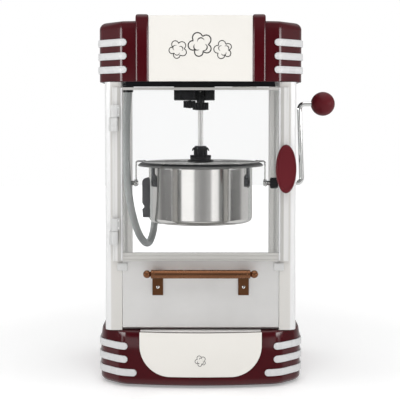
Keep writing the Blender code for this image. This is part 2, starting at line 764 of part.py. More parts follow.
def make_door():
    axis = joint_axis("door_hinge", (*DOOR_AXIS, DOOR_LOW))
    inner = DOOR_HALF - STILE
    outline = rectangle((-DOOR_HALF, DOOR_LOW), (DOOR_HALF, DOOR_HIGH))
    opening = rectangle((-inner, DOOR_LOW + BOTTOM_RAIL), (inner, DOOR_HIGH - TOP_RAIL))
    finish(prism("door_frame", [outline, opening], DOOR_FRONT, DOOR_REAR, "Y"), "post", axis)
    low = (-inner + GAP, DOOR_FRONT + 0.0015, DOOR_LOW + BOTTOM_RAIL + GAP)
    high = (inner - GAP, DOOR_FRONT + 0.0015 + GLASS_THICK, DOOR_HIGH - TOP_RAIL - GAP)
    finish(box("door_glass", low, high), "glass", axis)

    # Oval knob: a short stem and a disc with a bevelled rim, turned and then drawn out to an oval
    wide, tall = DOOR_KNOB_HALF
    profile = [(0, 0.016), (0.80, 0.016), (0.93, 0.0148), (1.0, 0.0125), (1.0, 0.0095)]
    profile += [(0.90, 0.0080), (0.42, 0.0080), (0.42, GAP), (0, GAP)]
    profile = [(radius * wide, height) for radius, height in profile]
    knob = turned("door_knob", profile, (0, 0, 0), steps=28)
    place = Matrix.Translation((DOOR_KNOB[0], DOOR_FRONT, DOOR_KNOB[1])) @ TURNS["-Y"]
    knob.matrix_world = place @ Matrix.Diagonal((1, tall / wide, 1, 1))
    finish(knob, "maroon", axis)

    for name, foot in zip(("lower", "upper"), HINGE_LOWS):
        middle, top = foot + HINGE_HALF, foot + 2 * HINGE_HALF - 0.001
        profile = [(0, top - 0.002), (HINGE_PIN, top - 0.002), (HINGE_PIN, middle)]
        profile += [(KNUCKLE, middle), (KNUCKLE, foot)]
        post_part = turned(f"hinge_post_{name}", [*profile, (0, foot)], (*DOOR_AXIS, 0), steps=16)
        arm_low = (DOOR_AXIS[0] - 0.0070, DOOR_AXIS[1] - 0.0020, foot)
        arm_high = (-DOOR_HALF - 0.0005, POST_FRONT - GAP, middle)
        join(post_part, box(f"hinge_arm_{name}", arm_low, arm_high))
        bridge_high = (DOOR_AXIS[0], DOOR_AXIS[1] + 0.0020, middle - 0.0005)
        bridge_low = (DOOR_AXIS[0] - 0.0065, DOOR_AXIS[1] - 0.0015, foot + 0.0005)
        join(post_part, box(f"hinge_bridge_{name}", bridge_low, bridge_high))
        finish(post_part, "white")

        bore, low = HINGE_PIN + GAP, middle + GAP
        leaf_low = (DOOR_AXIS[0] - 0.0010, DOOR_FRONT - GAP - 0.0020, middle + 0.0006)
        leaf_high = (-0.1068, DOOR_FRONT - GAP, top - GAP)
        profile = [(bore, top), (KNUCKLE, top), (KNUCKLE, low), (bore, low)]
        door_part = turned(f"hinge_door_{name}", profile, (*DOOR_AXIS, 0), closed=True, steps=16)
        join(door_part, box(f"hinge_leaf_{name}", leaf_low, leaf_high))
        cut(door_part, cylinder(f"hinge_bore_{name}", bore, foot, top + 0.01, DOOR_AXIS, steps=16))
        finish(door_part, "white", axis)


# ---------------------------------------------------------------- flap


def make_flap():
    axis = joint_axis("flap_hinge", (0, *FLAP_AXIS))
    axis_y, axis_z = FLAP_AXIS
    front, rear = POST_FRONT, POST_FRONT + FLAP_SHEET
    hem = 0.0040
    curl = arc(FLAP_AXIS, hem, -90, 150, 12)
    outline = [(front, FLAP_HIGH), (front, axis_z - 0.001), (axis_y - 0.001, axis_z - hem), *curl]
    outline += [(rear, axis_z + 0.004), (rear, FLAP_HIGH - FLAP_SHEET)]
    outline += [(rear + 0.007, FLAP_HIGH - FLAP_SHEET), (rear + 0.007, FLAP_HIGH)]
    bore = circle(FLAP_AXIS, FLAP_ROD + GAP, 12)
    panel = prism("flap_panel", [outline, bore], -FLAP_HALF, FLAP_HALF, "X")
    finish(panel, "satin_steel", axis)
    reach = POST_IN + 0.004
    finish(cylinder("flap_rod", FLAP_ROD, -reach, reach, FLAP_AXIS, "X", 12), "polished_steel", axis)
    for name in ("post_front_left", "post_front_right"):
        end = reach + 0.001
        hole = cylinder(f"{name}_rod_hole", FLAP_ROD + GAP, -end, end, FLAP_AXIS, "X", 12)
        cut(bpy.data.objects[name], hole)

    # Bar with a ball at each end
    ball = HANDLE_HALF + 0.0057
    angles = [math.radians(a) for a in range(90, -61, -25)]
    side = [(max(0, FINIAL * math.cos(a)), ball + FINIAL * math.sin(a)) for a in angles]
    side[0] = (0, ball + FINIAL)
    side += [(0.0026, HANDLE_HALF + 0.0006), (HANDLE_RADIUS, HANDLE_HALF)]
    profile = side + [(radius, -height) for radius, height in reversed(side)]
    bar = turned("handle_bar", profile, (0, *HANDLE_AXIS), "X", steps=16)
    finish(bar, "copper", axis)

    tab_front = front - GAP - 0.002
    arm = (HANDLE_AXIS[1] - 0.0015, HANDLE_AXIS[1] + 0.0015)
    reach_y = HANDLE_AXIS[0] + math.sqrt((HANDLE_RADIUS + GAP) ** 2 - 0.0015**2)
    for hand_name, hand in HANDS:
        low, high = sorted(hand * x for x in BRACKET_X)
        outline = [(front - GAP, BRACKET_LOW), (front - GAP, arm[1]), (reach_y, arm[1])]
        outline += [(reach_y, arm[0]), (tab_front, arm[0]), (tab_front, BRACKET_LOW)]
        finish(prism(f"handle_bracket_{hand_name}", [outline], low, high, "X"), "copper", axis)
        low, high = sorted(hand * x for x in TAB_X)
        corners = (low, tab_front - 0.0006, TAB_Z[0]), (high, front - GAP, TAB_Z[1])
        finish(box(f"flap_tab_{hand_name}", *corners, bevel=0.0006), "white", axis)


# ---------------------------------------------------------------- kettle


def half_disc(radius, edge, hand, cut_radius=0.0):
    """A half disc in front of (hand -1) or behind (hand 1) the cross bar, round the hub's cut."""
    start = math.degrees(math.asin(edge / radius))
    outline = arc((0, 0), radius, start, 180 - start, 30)
    if cut_radius:
        low = math.degrees(math.asin(edge / cut_radius))
        outline += arc((0, 0), cut_radius, 180 - low, low, 8)
    return [(x, KETTLE_Y + hand * y) for x, y in outline]


def make_kettle():
    axis = joint_axis("kettle_pivot", (0, KETTLE_Y, PIVOT_Z))
    middle = (0, KETTLE_Y, 0)
    inner = POT_RADIUS - POT_WALL
    skirt = POT_RADIUS - 0.009
    profile = [(0, POT_FLOOR), (inner - 0.006, POT_FLOOR), (inner - 0.002, POT_FLOOR + 0.0015)]
    profile += [(inner, POT_FLOOR + 0.006), (inner, POT_TOP), (POT_RADIUS, POT_TOP)]
    profile += [(POT_RADIUS, POT_LOW + 0.007), (POT_RADIUS - 0.002, POT_LOW + 0.002)]
    profile += [(POT_RADIUS - 0.007, POT_LOW), (skirt, POT_LOW)]
    profile += [(skirt, POT_FLOOR - POT_WALL), (0, POT_FLOOR - POT_WALL)]
    finish(turned("kettle_pot", profile, middle, steps=36), "polished_steel", axis)
    cover, cover_top = skirt - GAP, POT_LOW + 0.002
    profile = [(0, cover_top), (cover, cover_top), (cover, POT_LOW), (0, POT_LOW)]
    finish(turned("heater_cover", profile, middle), "dark_steel", axis)

    openings = [half_disc(RIM_HOLE, CROSS_BAR, hand) for hand in (-1, 1)]
    shaft_hole = circle((0, KETTLE_Y), SHAFT_RADIUS + RUNNING + 0.0002, 20)
    outline = circle((0, KETTLE_Y), RIM_RADIUS, 48)
    rim = prism("kettle_rim", [outline, *openings, shaft_hole], POT_TOP + GAP, RIM_TOP)
    finish(rim, "dark_steel", axis)

    bore, base = SHAFT_RADIUS + RUNNING, RIM_TOP + GAP
    profile = [(bore, HUB_HIGH), (0.0085, HUB_HIGH), (0.0095, HUB_HIGH - 0.002), (0.0090, 0.3095)]
    profile += [(0.0120, 0.3085), (0.0125, 0.3060), (0.0090, 0.3050), (0.0090, 0.2985)]
    profile += [(0.0150, 0.2975), (0.0150, 0.2945), (0.0188, 0.2935), (0.0188, base), (bore, base)]
    finish(turned("drive_hub", profile, middle, closed=True, steps=20), "black", axis)

    for name, hand, way in (("front", -1, "lid_front_hinge"), ("rear", 1, "lid_rear_hinge")):
        hinge_y = KETTLE_Y + hand * (CROSS_BAR + 0.0007)
        hinge = joint_axis(way, (0, hinge_y, RIM_TOP + GAP + LID_SHEET / 2))
        flap = half_disc(LID_RADIUS, CROSS_BAR + 0.0007, hand, HUB_CUT)
        low = RIM_TOP + GAP
        finish(prism(f"lid_flap_{name}", [flap], low, low + LID_SHEET), "polished_steel", hinge)

    # Hangers: a wire from a screw on the rim down to an eye on the pivot
    wire_z = RIM_TOP + 0.0017
    for name, hand in HANDS:
        route = [(hand * SCREW_X, KETTLE_Y, wire_z), (hand * HANGER_X, KETTLE_Y, wire_z)]
        route.append((hand * HANGER_X, KETTLE_Y, PIVOT_Z + 0.0045))
        wire = as_mesh(rod(f"hanger_{name}", bent(route, 0.003, 4), 0.0012, 2))
        inner, outer = sorted((hand * PIVOT_INNER, hand * 0.0975))
        pivot = (KETTLE_Y, PIVOT_Z)
        if name == "left":
            join(wire, cylinder("left_eye", EYE_RADIUS, inner, outer, pivot, "X"))
            join(wire, cylinder("left_pin", PIVOT_RADIUS, -0.1180, -0.0950, pivot, "X", 20))
        else:
            join(wire, sleeve("right_eye", EYE_RADIUS, PIVOT_RADIUS + GAP, inner, outer, pivot, "X"))
        place = (hand * SCREW_X, KETTLE_Y)
        join(wire, cylinder(f"{name}_screw", 0.0032, RIM_TOP + GAP, RIM_TOP + 0.0035, place))
        finish(wire, "polished_steel", axis)

    start, end = CONNECTOR_ANGLES
    block = arc((0, KETTLE_Y), CONNECTOR_OUT, start, end, 6)
    block += arc((0, KETTLE_Y), POT_RADIUS + GAP, end, start, 6)
    finish(prism("kettle_connector", [block], *CONNECTOR_Z), "black", axis)

    route = [(x, KETTLE_Y, z) for x, z in CRANK_ROUTE]
    knob_centre = Vector(route[-1])
    way = (knob_centre - Vector(route[-2])).normalized()
    route[-1] = knob_centre - way * 0.006
    finish(rod("crank_rod", bent(route, 0.0075), CRANK_RADIUS, 3), "polished_steel", axis)
    angles = [math.radians(a) for a in range(0, 181, 15)]
    profile = [(CRANK_KNOB * math.sin(a), CRANK_KNOB * math.cos(a)) for a in angles]
    knob = turned("crank_knob", profile, knob_centre, steps=20)
    bore = [knob_centre - way * 0.0055, knob_centre - way * 0.03]
    cut(knob, as_mesh(rod("knob_bore", bore, CRANK_RADIUS + GAP, 3)))
    finish(knob, "maroon", axis)


def make_lead():
    finish(rod("kettle_lead", smooth(LEAD_ROUTE, 4), LEAD_RADIUS, 2), "grey_sleeve")


make_base()
make_cabinet()
make_head()
make_drive()
make_door()
make_flap()
make_kettle()
make_lead()

for piece in PARTS.objects:
    if piece.type == "MESH":
        piece.data.shade_smooth()
        piece.data.set_sharp_from_angle(angle=math.radians(35))
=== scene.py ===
"""Looks of the table-top popcorn maker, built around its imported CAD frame.

Metres, in the frame's own axes: +Z up, the front faces -Y and the crank is on the +X side.
"""

import json
from math import asin, atan2, ceil, cos, degrees, pi, radians, sin, sqrt, tan, tau

import bmesh
import bpy
from mathutils import Matrix, Vector


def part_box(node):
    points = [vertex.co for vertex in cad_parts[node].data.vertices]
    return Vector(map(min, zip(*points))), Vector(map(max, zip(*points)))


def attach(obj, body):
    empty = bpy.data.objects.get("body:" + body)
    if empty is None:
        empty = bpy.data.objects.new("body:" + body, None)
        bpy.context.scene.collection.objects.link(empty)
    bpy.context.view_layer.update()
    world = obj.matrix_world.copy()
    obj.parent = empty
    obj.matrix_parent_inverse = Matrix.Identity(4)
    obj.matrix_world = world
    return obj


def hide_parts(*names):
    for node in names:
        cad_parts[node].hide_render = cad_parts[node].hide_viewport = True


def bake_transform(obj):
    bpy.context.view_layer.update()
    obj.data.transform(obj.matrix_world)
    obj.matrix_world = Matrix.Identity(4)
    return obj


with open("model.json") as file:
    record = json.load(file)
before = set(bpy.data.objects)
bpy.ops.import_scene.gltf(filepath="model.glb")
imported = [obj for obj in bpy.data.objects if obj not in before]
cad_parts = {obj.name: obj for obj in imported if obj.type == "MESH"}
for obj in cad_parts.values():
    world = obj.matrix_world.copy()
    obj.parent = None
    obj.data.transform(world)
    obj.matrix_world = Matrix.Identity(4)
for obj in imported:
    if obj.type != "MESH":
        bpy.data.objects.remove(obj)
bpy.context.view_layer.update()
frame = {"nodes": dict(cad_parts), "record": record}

HANDS = (("left", -1), ("right", 1))


def low(node):
    return Vector(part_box(node)[0])


def high(node):
    return Vector(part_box(node)[1])


def centre(node):
    return (low(node) + high(node)) / 2


def ends_of(node):
    """The two corners of a node's box."""
    return low(node), high(node)


# ---------------------------------------------------------------- measures from the frame

GAP = 0.0003
HALF_WIDTH = high("head_shell").x
BACK = high("base_shell").y
FRONT = low("base_shell").y
BOW_RADIUS = 0.5  # of the bowed front, from above
CHEEK_X = 0.1055  # where the bowed front turns into the cut corner
BASE_TOP = high("base_shell").z
HEAD_BOTTOM = low("head_shell").z
RIDGE_TOP = high("head_shell").z
HEAD_TOP = RIDGE_TOP - 0.0085
ROOF_TOP = RIDGE_TOP - 0.004
WALL = 0.0025
RIDGE_X = (0.0682, 0.0852)
RIDGE_PROUD = 0.006
STRIP_HEIGHT = 0.0093
STRIP_SIDE_Y = -0.03
HEAD_STRIPS = (0.4178, 0.4356, 0.4536)
BASE_STRIPS = (0.016, 0.0335, 0.051)
KETTLE = Vector((0, centre("kettle_pot").y, 0))
POT_RADIUS = high("kettle_pot").x
POT_TOP = high("kettle_pot").z
POT_LOW = low("kettle_pot").z
RIM_TOP = high("kettle_rim").z
RIM_RADIUS = high("kettle_rim").x
RIM_HOLE = 0.0715
LID_RADIUS = high("lid_flap_front").x
PIVOT_Z = centre("pivot_bush_left").z
PIVOT = (0, KETTLE.y, PIVOT_Z)
HANDLE = Vector((0, centre("handle_bar").y, centre("handle_bar").z))
DOOR_FRONT = low("door_frame").y
DOOR_HINGE = next(j for j in frame["record"]["behaviour"]["joints"] if j["name"] == "door_swing")["pos_m"]

# ---------------------------------------------------------------- camera, floor and light

EYE_HEIGHT = 0.357
EYE_Y = -1.52
PITCH = radians(2.5)


def placed(name, data):
    """A new object in the scene."""
    obj = bpy.data.objects.new(name, data)
    bpy.context.scene.collection.objects.link(obj)
    return obj


def make_camera():
    data = bpy.data.cameras.new("camera")
    data.sensor_width = 36
    data.lens = 95.6
    data.shift_y = -0.0945
    data.clip_start = 0.05
    camera = placed("camera", data)
    camera.location = (-0.0008, EYE_Y, EYE_HEIGHT)
    camera.rotation_euler = (pi / 2 - PITCH, 0, 0)
    bpy.context.scene.camera = camera


# Each soft light's place, the height it points at, its size, its power and whether the object mirrors it
LIGHTS = {
    "soft_left": ((-1.4, -0.45, 0.6), 0.25, (0.9, 1.3), 5, False),
    "soft_right": ((1.4, -0.45, 0.6), 0.25, (0.9, 1.3), 5, False),
    "soft_front": ((0, -1.5, 1.7), 0.25, (1.6, 0.8), 9, False),
    "soft_low": ((0, -1.6, 0.3), 0.04, (1.2, 0.3), 2.6, False),
    "soft_top": ((0, -0.1, 1.9), 0.2, (1.6, 1.6), 6, True),
}


def make_lights():
    for name, (place, aim, size, power, mirrored) in LIGHTS.items():
        data = bpy.data.lights.new(name, "AREA")
        data.shape = "RECTANGLE"
        data.size, data.size_y = size
        data.energy = power
        light = placed(name, data)
        light.location = place
        light.visible_glossy = mirrored
        light.rotation_euler = (Vector((0, 0, aim)) - Vector(place)).to_track_quat("-Z", "Y").to_euler()


def make_studio():
    scene = bpy.context.scene
    scene.view_settings.view_transform = "Standard"
    scene.view_settings.look = "None"
    bm = bmesh.new()
    bmesh.ops.create_circle(bm, cap_ends=True, segments=96, radius=4.0)
    floor = new_object("studio_floor", bm)
    floor.location.z = low("foot_front_left").z
    floor.data.materials.append(floor_paint())
    floor.visible_glossy = False
    make_lights()
    make_room()


def shader_node(tree, kind, inputs=None, **settings):
    """A shader node; each input gets a value, or the socket that feeds it."""
    made = tree.nodes.new(f"ShaderNode{kind}")
    for name, value in settings.items():
        setattr(made, name, value)
    for name, value in (inputs or {}).items():
        if isinstance(value, bpy.types.NodeSocket):
            tree.links.new(value, made.inputs[name])
        else:
            made.inputs[name].default_value = value
    return made


def make_room():
    """What the object mirrors: dark and bright cards low down, a dark front higher up, pale above and below."""
    world = bpy.data.worlds.new("studio")
    bpy.context.scene.world = world
    world.use_nodes = True
    tree = world.node_tree
    tree.nodes.clear()

    def ramp(value, stops, mode="LINEAR"):
        """Grey levels along a value, from (position, level) stops."""
        made = shader_node(tree, "ValToRGB", {"Fac": value})
        made.color_ramp.interpolation = mode
        elements = made.color_ramp.elements
        while len(elements) < len(stops):
            elements.new(0.5)
        for element, (position, level) in zip(elements, stops):
            element.position = position
            element.color = (level, level, level, 1)
        return made.outputs["Color"]

    def mixed(factor, first, second):
        inputs = {"Factor": factor, "A": first, "B": second}
        return shader_node(tree, "Mix", inputs, data_type="RGBA").outputs["Result"]

    def share(value, lowest, highest):
        inputs = {"Value": value, "From Min": lowest, "From Max": highest}
        return shader_node(tree, "MapRange", inputs).outputs["Result"]

    def plain(level):
        return shader_node(tree, "Background", {"Color": (level, level, level, 1)})

    def chosen(when, first, second):
        inputs = {"Fac": path.outputs[when], 1: first.outputs[0], 2: second.outputs[0]}
        return shader_node(tree, "MixShader", inputs)

    coords = shader_node(tree, "TexCoord")
    split = shader_node(tree, "SeparateXYZ", {0: coords.outputs["Generated"]})
    away = shader_node(tree, "Math", {0: split.outputs["Y"], 1: -1.0}, operation="MULTIPLY")
    turn = shader_node(tree, "Math", {0: split.outputs["X"], 1: away.outputs[0]}, operation="ARCTAN2")
    # 0 to 1 round the room: 0.5 is straight in front of the object, 0.25 its left and 0.75 its right
    around = share(turn.outputs[0], -pi, pi)
    height = share(split.outputs["Z"], -1.0, 1.0)

    cards, upper, lower = (
        ramp(around, [(0.5 + angle / 360, level) for angle, level in stops], "EASE")
        for stops in (ROOM_CARDS, ROOM_UPPER, ROOM_LOWER)
    )
    above = ramp(height, ((0.0, 0), (0.508, 0), (0.513, 1)))
    below = ramp(height, ((0.0, 1), (0.41, 1), (0.435, 0)))
    ends = ramp(height, ((0.0, 1), (0.33, 1), (0.37, 0), (0.538, 0), (0.545, 1)))
    pale = ramp(height, ((0.0, 0.8), (0.5, 0.8), (0.54, 0.35), (0.7, 0.35), (0.9, 1.0)))
    path = shader_node(tree, "LightPath")

    # The cards are for mirroring only: they don't light the object, which the area lights and an even sky do
    room = plain(1)
    walls = mixed(below, mixed(above, cards, upper), lower)
    tree.links.new(mixed(ends, walls, pale), room.inputs["Color"])
    light = chosen("Is Camera Ray", chosen("Is Glossy Ray", plain(SKY), room), plain(1))
    shader_node(tree, "OutputWorld", {"Surface": light.outputs[0]})


SKY = 0.55
# Degrees round the room from straight ahead, and how bright it is there
ROOM_CARDS = (
    (-180, 0.55), (-150, 0.62), (-118, 0.62), (-105, 0.4), (-94, 0.2), (-67, 0.24), (-63, 2.3),
    (-56, 2.3), (-53, 0.2), (-45, 0.2), (-41, 1.3), (-17, 1.3), (-11, 0.46), (6, 0.34), (20, 0.48),
    (27, 1.2), (38, 1.1), (43, 0.26), (52, 0.26), (56, 1.5), (64, 1.1), (71, 0.14), (94, 0.22),
    (108, 0.62), (150, 0.66), (180, 0.55),
)
ROOM_LOWER = ((-180, 0.7), (-86, 0.7), (-76, 0.22), (76, 0.22), (86, 0.7), (180, 0.7))
ROOM_UPPER = (
    (-180, 0.62), (-90, 0.62), (-82, 10.5), (-46, 10.5), (-41, 0.05), (-20, 0.02), (20, 0.02), (41, 0.05),
    (46, 10.5), (82, 10.5), (90, 0.62), (180, 0.62),
)


# ---------------------------------------------------------------- materials


class Paint:
    """A Principled material with the small helpers that its procedural detail needs."""

    def __init__(self, name, roughness, metallic=0.0, coat=0.0, coat_roughness=0.05, specular=0.5):
        self.material = bpy.data.materials.new(name)
        self.material.use_nodes = True
        self.tree = self.material.node_tree
        self.shader = self.tree.nodes["Principled BSDF"]
        self.shader.inputs["Roughness"].default_value = roughness
        self.shader.inputs["Metallic"].default_value = metallic
        self.shader.inputs["Coat Weight"].default_value = coat
        self.shader.inputs["Coat Roughness"].default_value = coat_roughness
        self.shader.inputs["Specular IOR Level"].default_value = specular

    def add(self, kind, inputs, output, **settings):
        return shader_node(self.tree, kind, inputs, **settings).outputs[output]

    def feed(self, name, value):
        self.tree.links.new(value, self.shader.inputs[name])

    def place(self):
        """The piece's own coordinates."""
        return self.add("TexCoord", {}, "Object")

    def noise(self, scale, stretch=(1, 1, 1), detail=3.0):
        vector = self.add("Mapping", {"Vector": self.place(), "Scale": stretch}, "Vector")
        return self.add("TexNoise", {"Vector": vector, "Scale": scale, "Detail": detail}, "Fac")

    def span(self, value, lowest, highest, start=0.3, end=0.7):
        inputs = {"Value": value, "From Min": start, "From Max": end, "To Min": lowest, "To Max": highest}
        return self.add("MapRange", inputs, "Result")

    def colours(self, first, second, value):
        inputs = {"A": (*first, 1), "B": (*second, 1), "Factor": self.span(value, 0, 1)}
        self.feed("Base Color", self.add("Mix", inputs, "Result", data_type="RGBA"))

    def roughness(self, value, lowest, highest):
        self.feed("Roughness", self.span(value, lowest, highest))

    def bump(self, value, strength, distance):
        inputs = {"Strength": strength, "Distance": distance, "Height": value}
        self.feed("Normal", self.add("Bump", inputs, "Normal"))


def floor_paint():
    """Near white, and a little brighter the further it is from the object."""
    paint = Paint("pale_floor", 0.6)
    paint.colours((0.93, 0.93, 0.93), (0.91, 0.91, 0.91), paint.noise(3))
    paint.shader.inputs["Emission Color"].default_value = (1, 1, 1, 1)
    distance = paint.add("VectorMath", {0: paint.place()}, "Value", operation="LENGTH")
    paint.feed("Emission Strength", paint.span(distance, 0.22, 0.75, 0.4, 1.8))
    return paint.material


def moulded(name, first, second, roughness, peel=0.02, specular=0.5, coat=0.0):
    """Moulded or lacquered plastic: a slow drift of colour, uneven gloss and a faint orange peel."""
    paint = Paint(name, roughness, coat=coat, specular=specular)
    paint.colours(first, second, paint.noise(14))
    paint.roughness(paint.noise(60, detail=2), roughness * 0.88, roughness * 1.15)
    paint.bump(paint.noise(700, detail=2), peel, 0.0004)
    return paint.material


def metal(name, first, second, roughness, grain_scale, bump=0.05, metallic=1.0, grain=(1, 1, 1)):
    """Bare or plated metal with its grain drawn out along one direction."""
    paint = Paint(name, roughness, metallic=metallic)
    lines = paint.noise(grain_scale, grain, detail=4)
    paint.colours(first, second, paint.noise(22, grain))
    paint.roughness(lines, roughness * 0.8, roughness * 1.25)
    paint.bump(lines, bump, 0.0003)
    return paint.material


def painted_metal(name, first, second, edge=(0.1188, 0.1202)):
    """Painted metal whose tone steps at an edge, given as distances from the middle of the cabinet: the step is
    painted shade on the front posts and stiles, and painted light on the rear posts.
    """
    roughness = 0.3
    paint = Paint(name, roughness, metallic=0.1, coat=0.25, coat_roughness=0.12)
    across = paint.add("SeparateXYZ", {0: paint.place()}, "X")
    across = paint.add("Math", {0: across}, 0, operation="ABSOLUTE")
    # Painted shade and light: the colour steps across |X| where the real paint is one colour
    paint.colours(first, second, paint.span(across, 0.3, 0.7, *edge))
    paint.roughness(paint.noise(30, detail=1), roughness * 0.92, roughness * 1.1)
    return paint.material


def clear_sheet():
    """Clear pane: see-through, with the sheen of its two faces and a few faint smears."""
    paint = Paint("clear_pane", 0.04, metallic=1.0)
    paint.shader.inputs["Base Color"].default_value = (0.9, 0.93, 0.93, 1)
    paint.roughness(paint.noise(6, detail=2), 0.02, 0.07)
    clear = paint.add("BsdfTransparent", {"Color": (0.997, 0.998, 0.998, 1)}, 0)
    gloss = paint.span(paint.add("Fresnel", {"IOR": 1.45}, 0), 0.0, 0.5, 0.0, 1.0)
    surface = paint.add("MixShader", {"Fac": gloss, 1: clear, 2: paint.shader.outputs[0]}, 0)
    paint.tree.links.new(surface, paint.tree.nodes["Material Output"].inputs["Surface"])
    return paint.material


def frosted():
    paint = Paint("frosted_lens", 0.5)
    paint.colours((0.85, 0.84, 0.78), (0.92, 0.91, 0.86), paint.noise(60))
    paint.bump(paint.noise(500), 0.2, 0.0004)
    return paint.material


# Each look's material and the record's slot that it is
LOOKS = {
    "maroon": (
        moulded("maroon_gloss", (0.056, 0.0022, 0.005), (0.048, 0.0018, 0.0042), 0.1, 0.003, 0.4),
        "maroon_shell",
    ),
    "grip": (
        moulded("maroon_satin", (0.108, 0.008, 0.013), (0.094, 0.0065, 0.011), 0.4, 0.01, 0.18),
        "maroon_shell",
    ),
    "cream": (
        moulded("cream_sheet", (0.74, 0.72, 0.68), (0.725, 0.705, 0.665), 0.36, 0.01, 0.25),
        "cream_panel",
    ),
    "white": (
        moulded("white_moulding", (0.61, 0.61, 0.615), (0.59, 0.59, 0.595), 0.28, 0.01, 0.4),
        "white_trim",
    ),
    "clip": (
        moulded("clip_moulding", (0.56, 0.56, 0.555), (0.52, 0.52, 0.515), 0.3, 0.02, 0.4, 0.2),
        "white_trim",
    ),
    # Front posts: the darker first tone on the inner flange is painted shade
    "post": (painted_metal("post_paint", (0.62, 0.605, 0.58), (0.72, 0.72, 0.72)), "post_paint"),
    # Rear posts: a paler copy of the post paint, painted light on the inner flanges seen through the panes
    "rear_post": (painted_metal("rear_post_painted_light", (0.9, 0.885, 0.855), (0.68, 0.68, 0.675)), "post_paint"),
    # The door's sill: a darker copy of the door paint, painted shade
    "rail": (painted_metal("rail_painted_shade", (0.49, 0.48, 0.46), (0.47, 0.46, 0.44)), "post_paint"),
    # Door stiles: the darker band along their inner edge is painted shade
    "stile": (
        painted_metal("stile_painted_shade", (0.44, 0.43, 0.412), (0.66, 0.655, 0.645), (0.1097, 0.1103)),
        "post_paint",
    ),
    "pane": (clear_sheet(), "clear_pane"),
    "satin": (
        metal("satin_steel", (0.93, 0.92, 0.905), (0.88, 0.87, 0.855), 0.42, 900, 0.01, 0.75),
        "satin_steel",
    ),
    "pot": (
        metal("spun_steel", (0.8, 0.785, 0.765), (0.74, 0.725, 0.705), 0.1, 6, 0.003, grain=(2, 2, 260)),
        "polished_steel",
    ),
    "lid": (
        metal("lid_steel", (0.9, 0.89, 0.875), (0.85, 0.84, 0.825), 0.22, 300, 0.004, 0.8),
        "polished_steel",
    ),
    "chrome": (metal("chrome", (0.8, 0.8, 0.79), (0.76, 0.76, 0.75), 0.08, 200, 0.0), "polished_steel"),
    "dark_steel": (metal("dark_steel", (0.13, 0.133, 0.14), (0.1, 0.103, 0.11), 0.26, 700), "dark_steel"),
    "rim": (moulded("rim_enamel", (0.15, 0.149, 0.147), (0.13, 0.129, 0.127), 0.3, 0.01), "dark_steel"),
    "cover": (
        moulded("heater_cover", (0.115, 0.114, 0.12), (0.098, 0.097, 0.103), 0.45, 0.02, 0.3),
        "black_plastic",
    ),
    "black": (
        moulded("black_moulding", (0.0045, 0.0045, 0.006), (0.007, 0.007, 0.009), 0.3, 0.03, 0.22),
        "black_plastic",
    ),
    "copper": (
        metal("aged_copper", (0.26, 0.118, 0.06), (0.215, 0.096, 0.048), 0.24, 60, 0.0),
        "copper_trim",
    ),
    # A darker copy of the copper, for the straps
    "darker_copper": (metal("strap_copper", (0.15, 0.066, 0.03), (0.12, 0.052, 0.024), 0.3, 60, 0.0), "copper_trim"),
    "rubber": (moulded("rubber", (0.02, 0.02, 0.02), (0.028, 0.028, 0.028), 0.75, 0.15), "rubber_foot"),
    "sleeve": (moulded("lead_sleeve", (0.39, 0.405, 0.4), (0.44, 0.455, 0.45), 0.45, 0.05), "lead_sleeve"),
    "lens": (frosted(), "lamp_lens"),
}

# ---------------------------------------------------------------- mesh helpers


def new_object(name, bm):
    mesh = bpy.data.meshes.new(name)
    bmesh.ops.recalc_face_normals(bm, faces=bm.faces)
    bm.to_mesh(mesh)
    bm.free()
    return placed(name, mesh)


def shade(obj, angle=32):
    obj.data.shade_smooth()
    obj.data.set_sharp_from_angle(angle=radians(angle))
    return obj


def applied(obj):
    """The object with its modifiers and its place made part of its mesh."""
    graph = bpy.context.evaluated_depsgraph_get()
    mesh = bpy.data.meshes.new_from_object(obj.evaluated_get(graph))
    mesh.transform(obj.matrix_world)
    obj.modifiers.clear()
    obj.data = mesh
    obj.matrix_world = Matrix.Identity(4)
    return obj


TURNS = {"X": (0, pi / 2, 0), "-Y": (pi / 2, 0, 0), "Z": (0, 0, 0)}


def moved(obj, place, turn):
    """The object turned and moved to a place, for good."""
    obj.rotation_euler = turn
    obj.location = place
    bpy.context.view_layer.update()
    return applied(obj)


def dress(obj, look, body, *nodes):
    """Gives a piece its material, and makes it ride on a body and stand for CAD nodes."""
    material, slot = LOOKS[look]
    obj.data.materials.clear()
    obj.data.materials.append(material)
    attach(obj, body)
    if nodes:
        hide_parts(*nodes)
    return obj


def keep(node, look, bevel=0.0):
    """A CAD node shown as it is, with its own material and softened edges."""
    obj = frame["nodes"][node]
    material = LOOKS[look][0]
    for slot in obj.material_slots:
        slot.material = material
    if bevel:
        weld = obj.modifiers.new("Weld", "WELD")
        weld.merge_threshold = 0.00001
        soften(obj, bevel)


def soften(obj, width, segments=2, angle=30):
    modifier = obj.modifiers.new("Bevel", "BEVEL")
    modifier.width = width
    modifier.segments = segments
    modifier.limit_method = "ANGLE"
    modifier.angle_limit = radians(angle)
    return obj


def lathe(name, profile, place, along="Z", steps=64, closed=False):
    """A profile of (radius, height) points turned about an axis through place."""
    bm = bmesh.new()
    rings = []
    for radius, height in profile:
        turn = [tau * i / steps for i in range(steps)] if radius > 1e-7 else [0]
        rings.append([bm.verts.new((radius * cos(a), radius * sin(a), height)) for a in turn])
    pairs = list(zip(rings, rings[1:] + rings[:1] if closed else rings[1:]))
    for first, second in pairs:
        for i in range(steps):
            j = (i + 1) % steps
            corners = [ring[k % len(ring)] for ring, k in ((first, i), (first, j), (second, j), (second, i))]
            bm.faces.new(dict.fromkeys(corners))
    return shade(moved(new_object(name, bm), place, TURNS[along]))


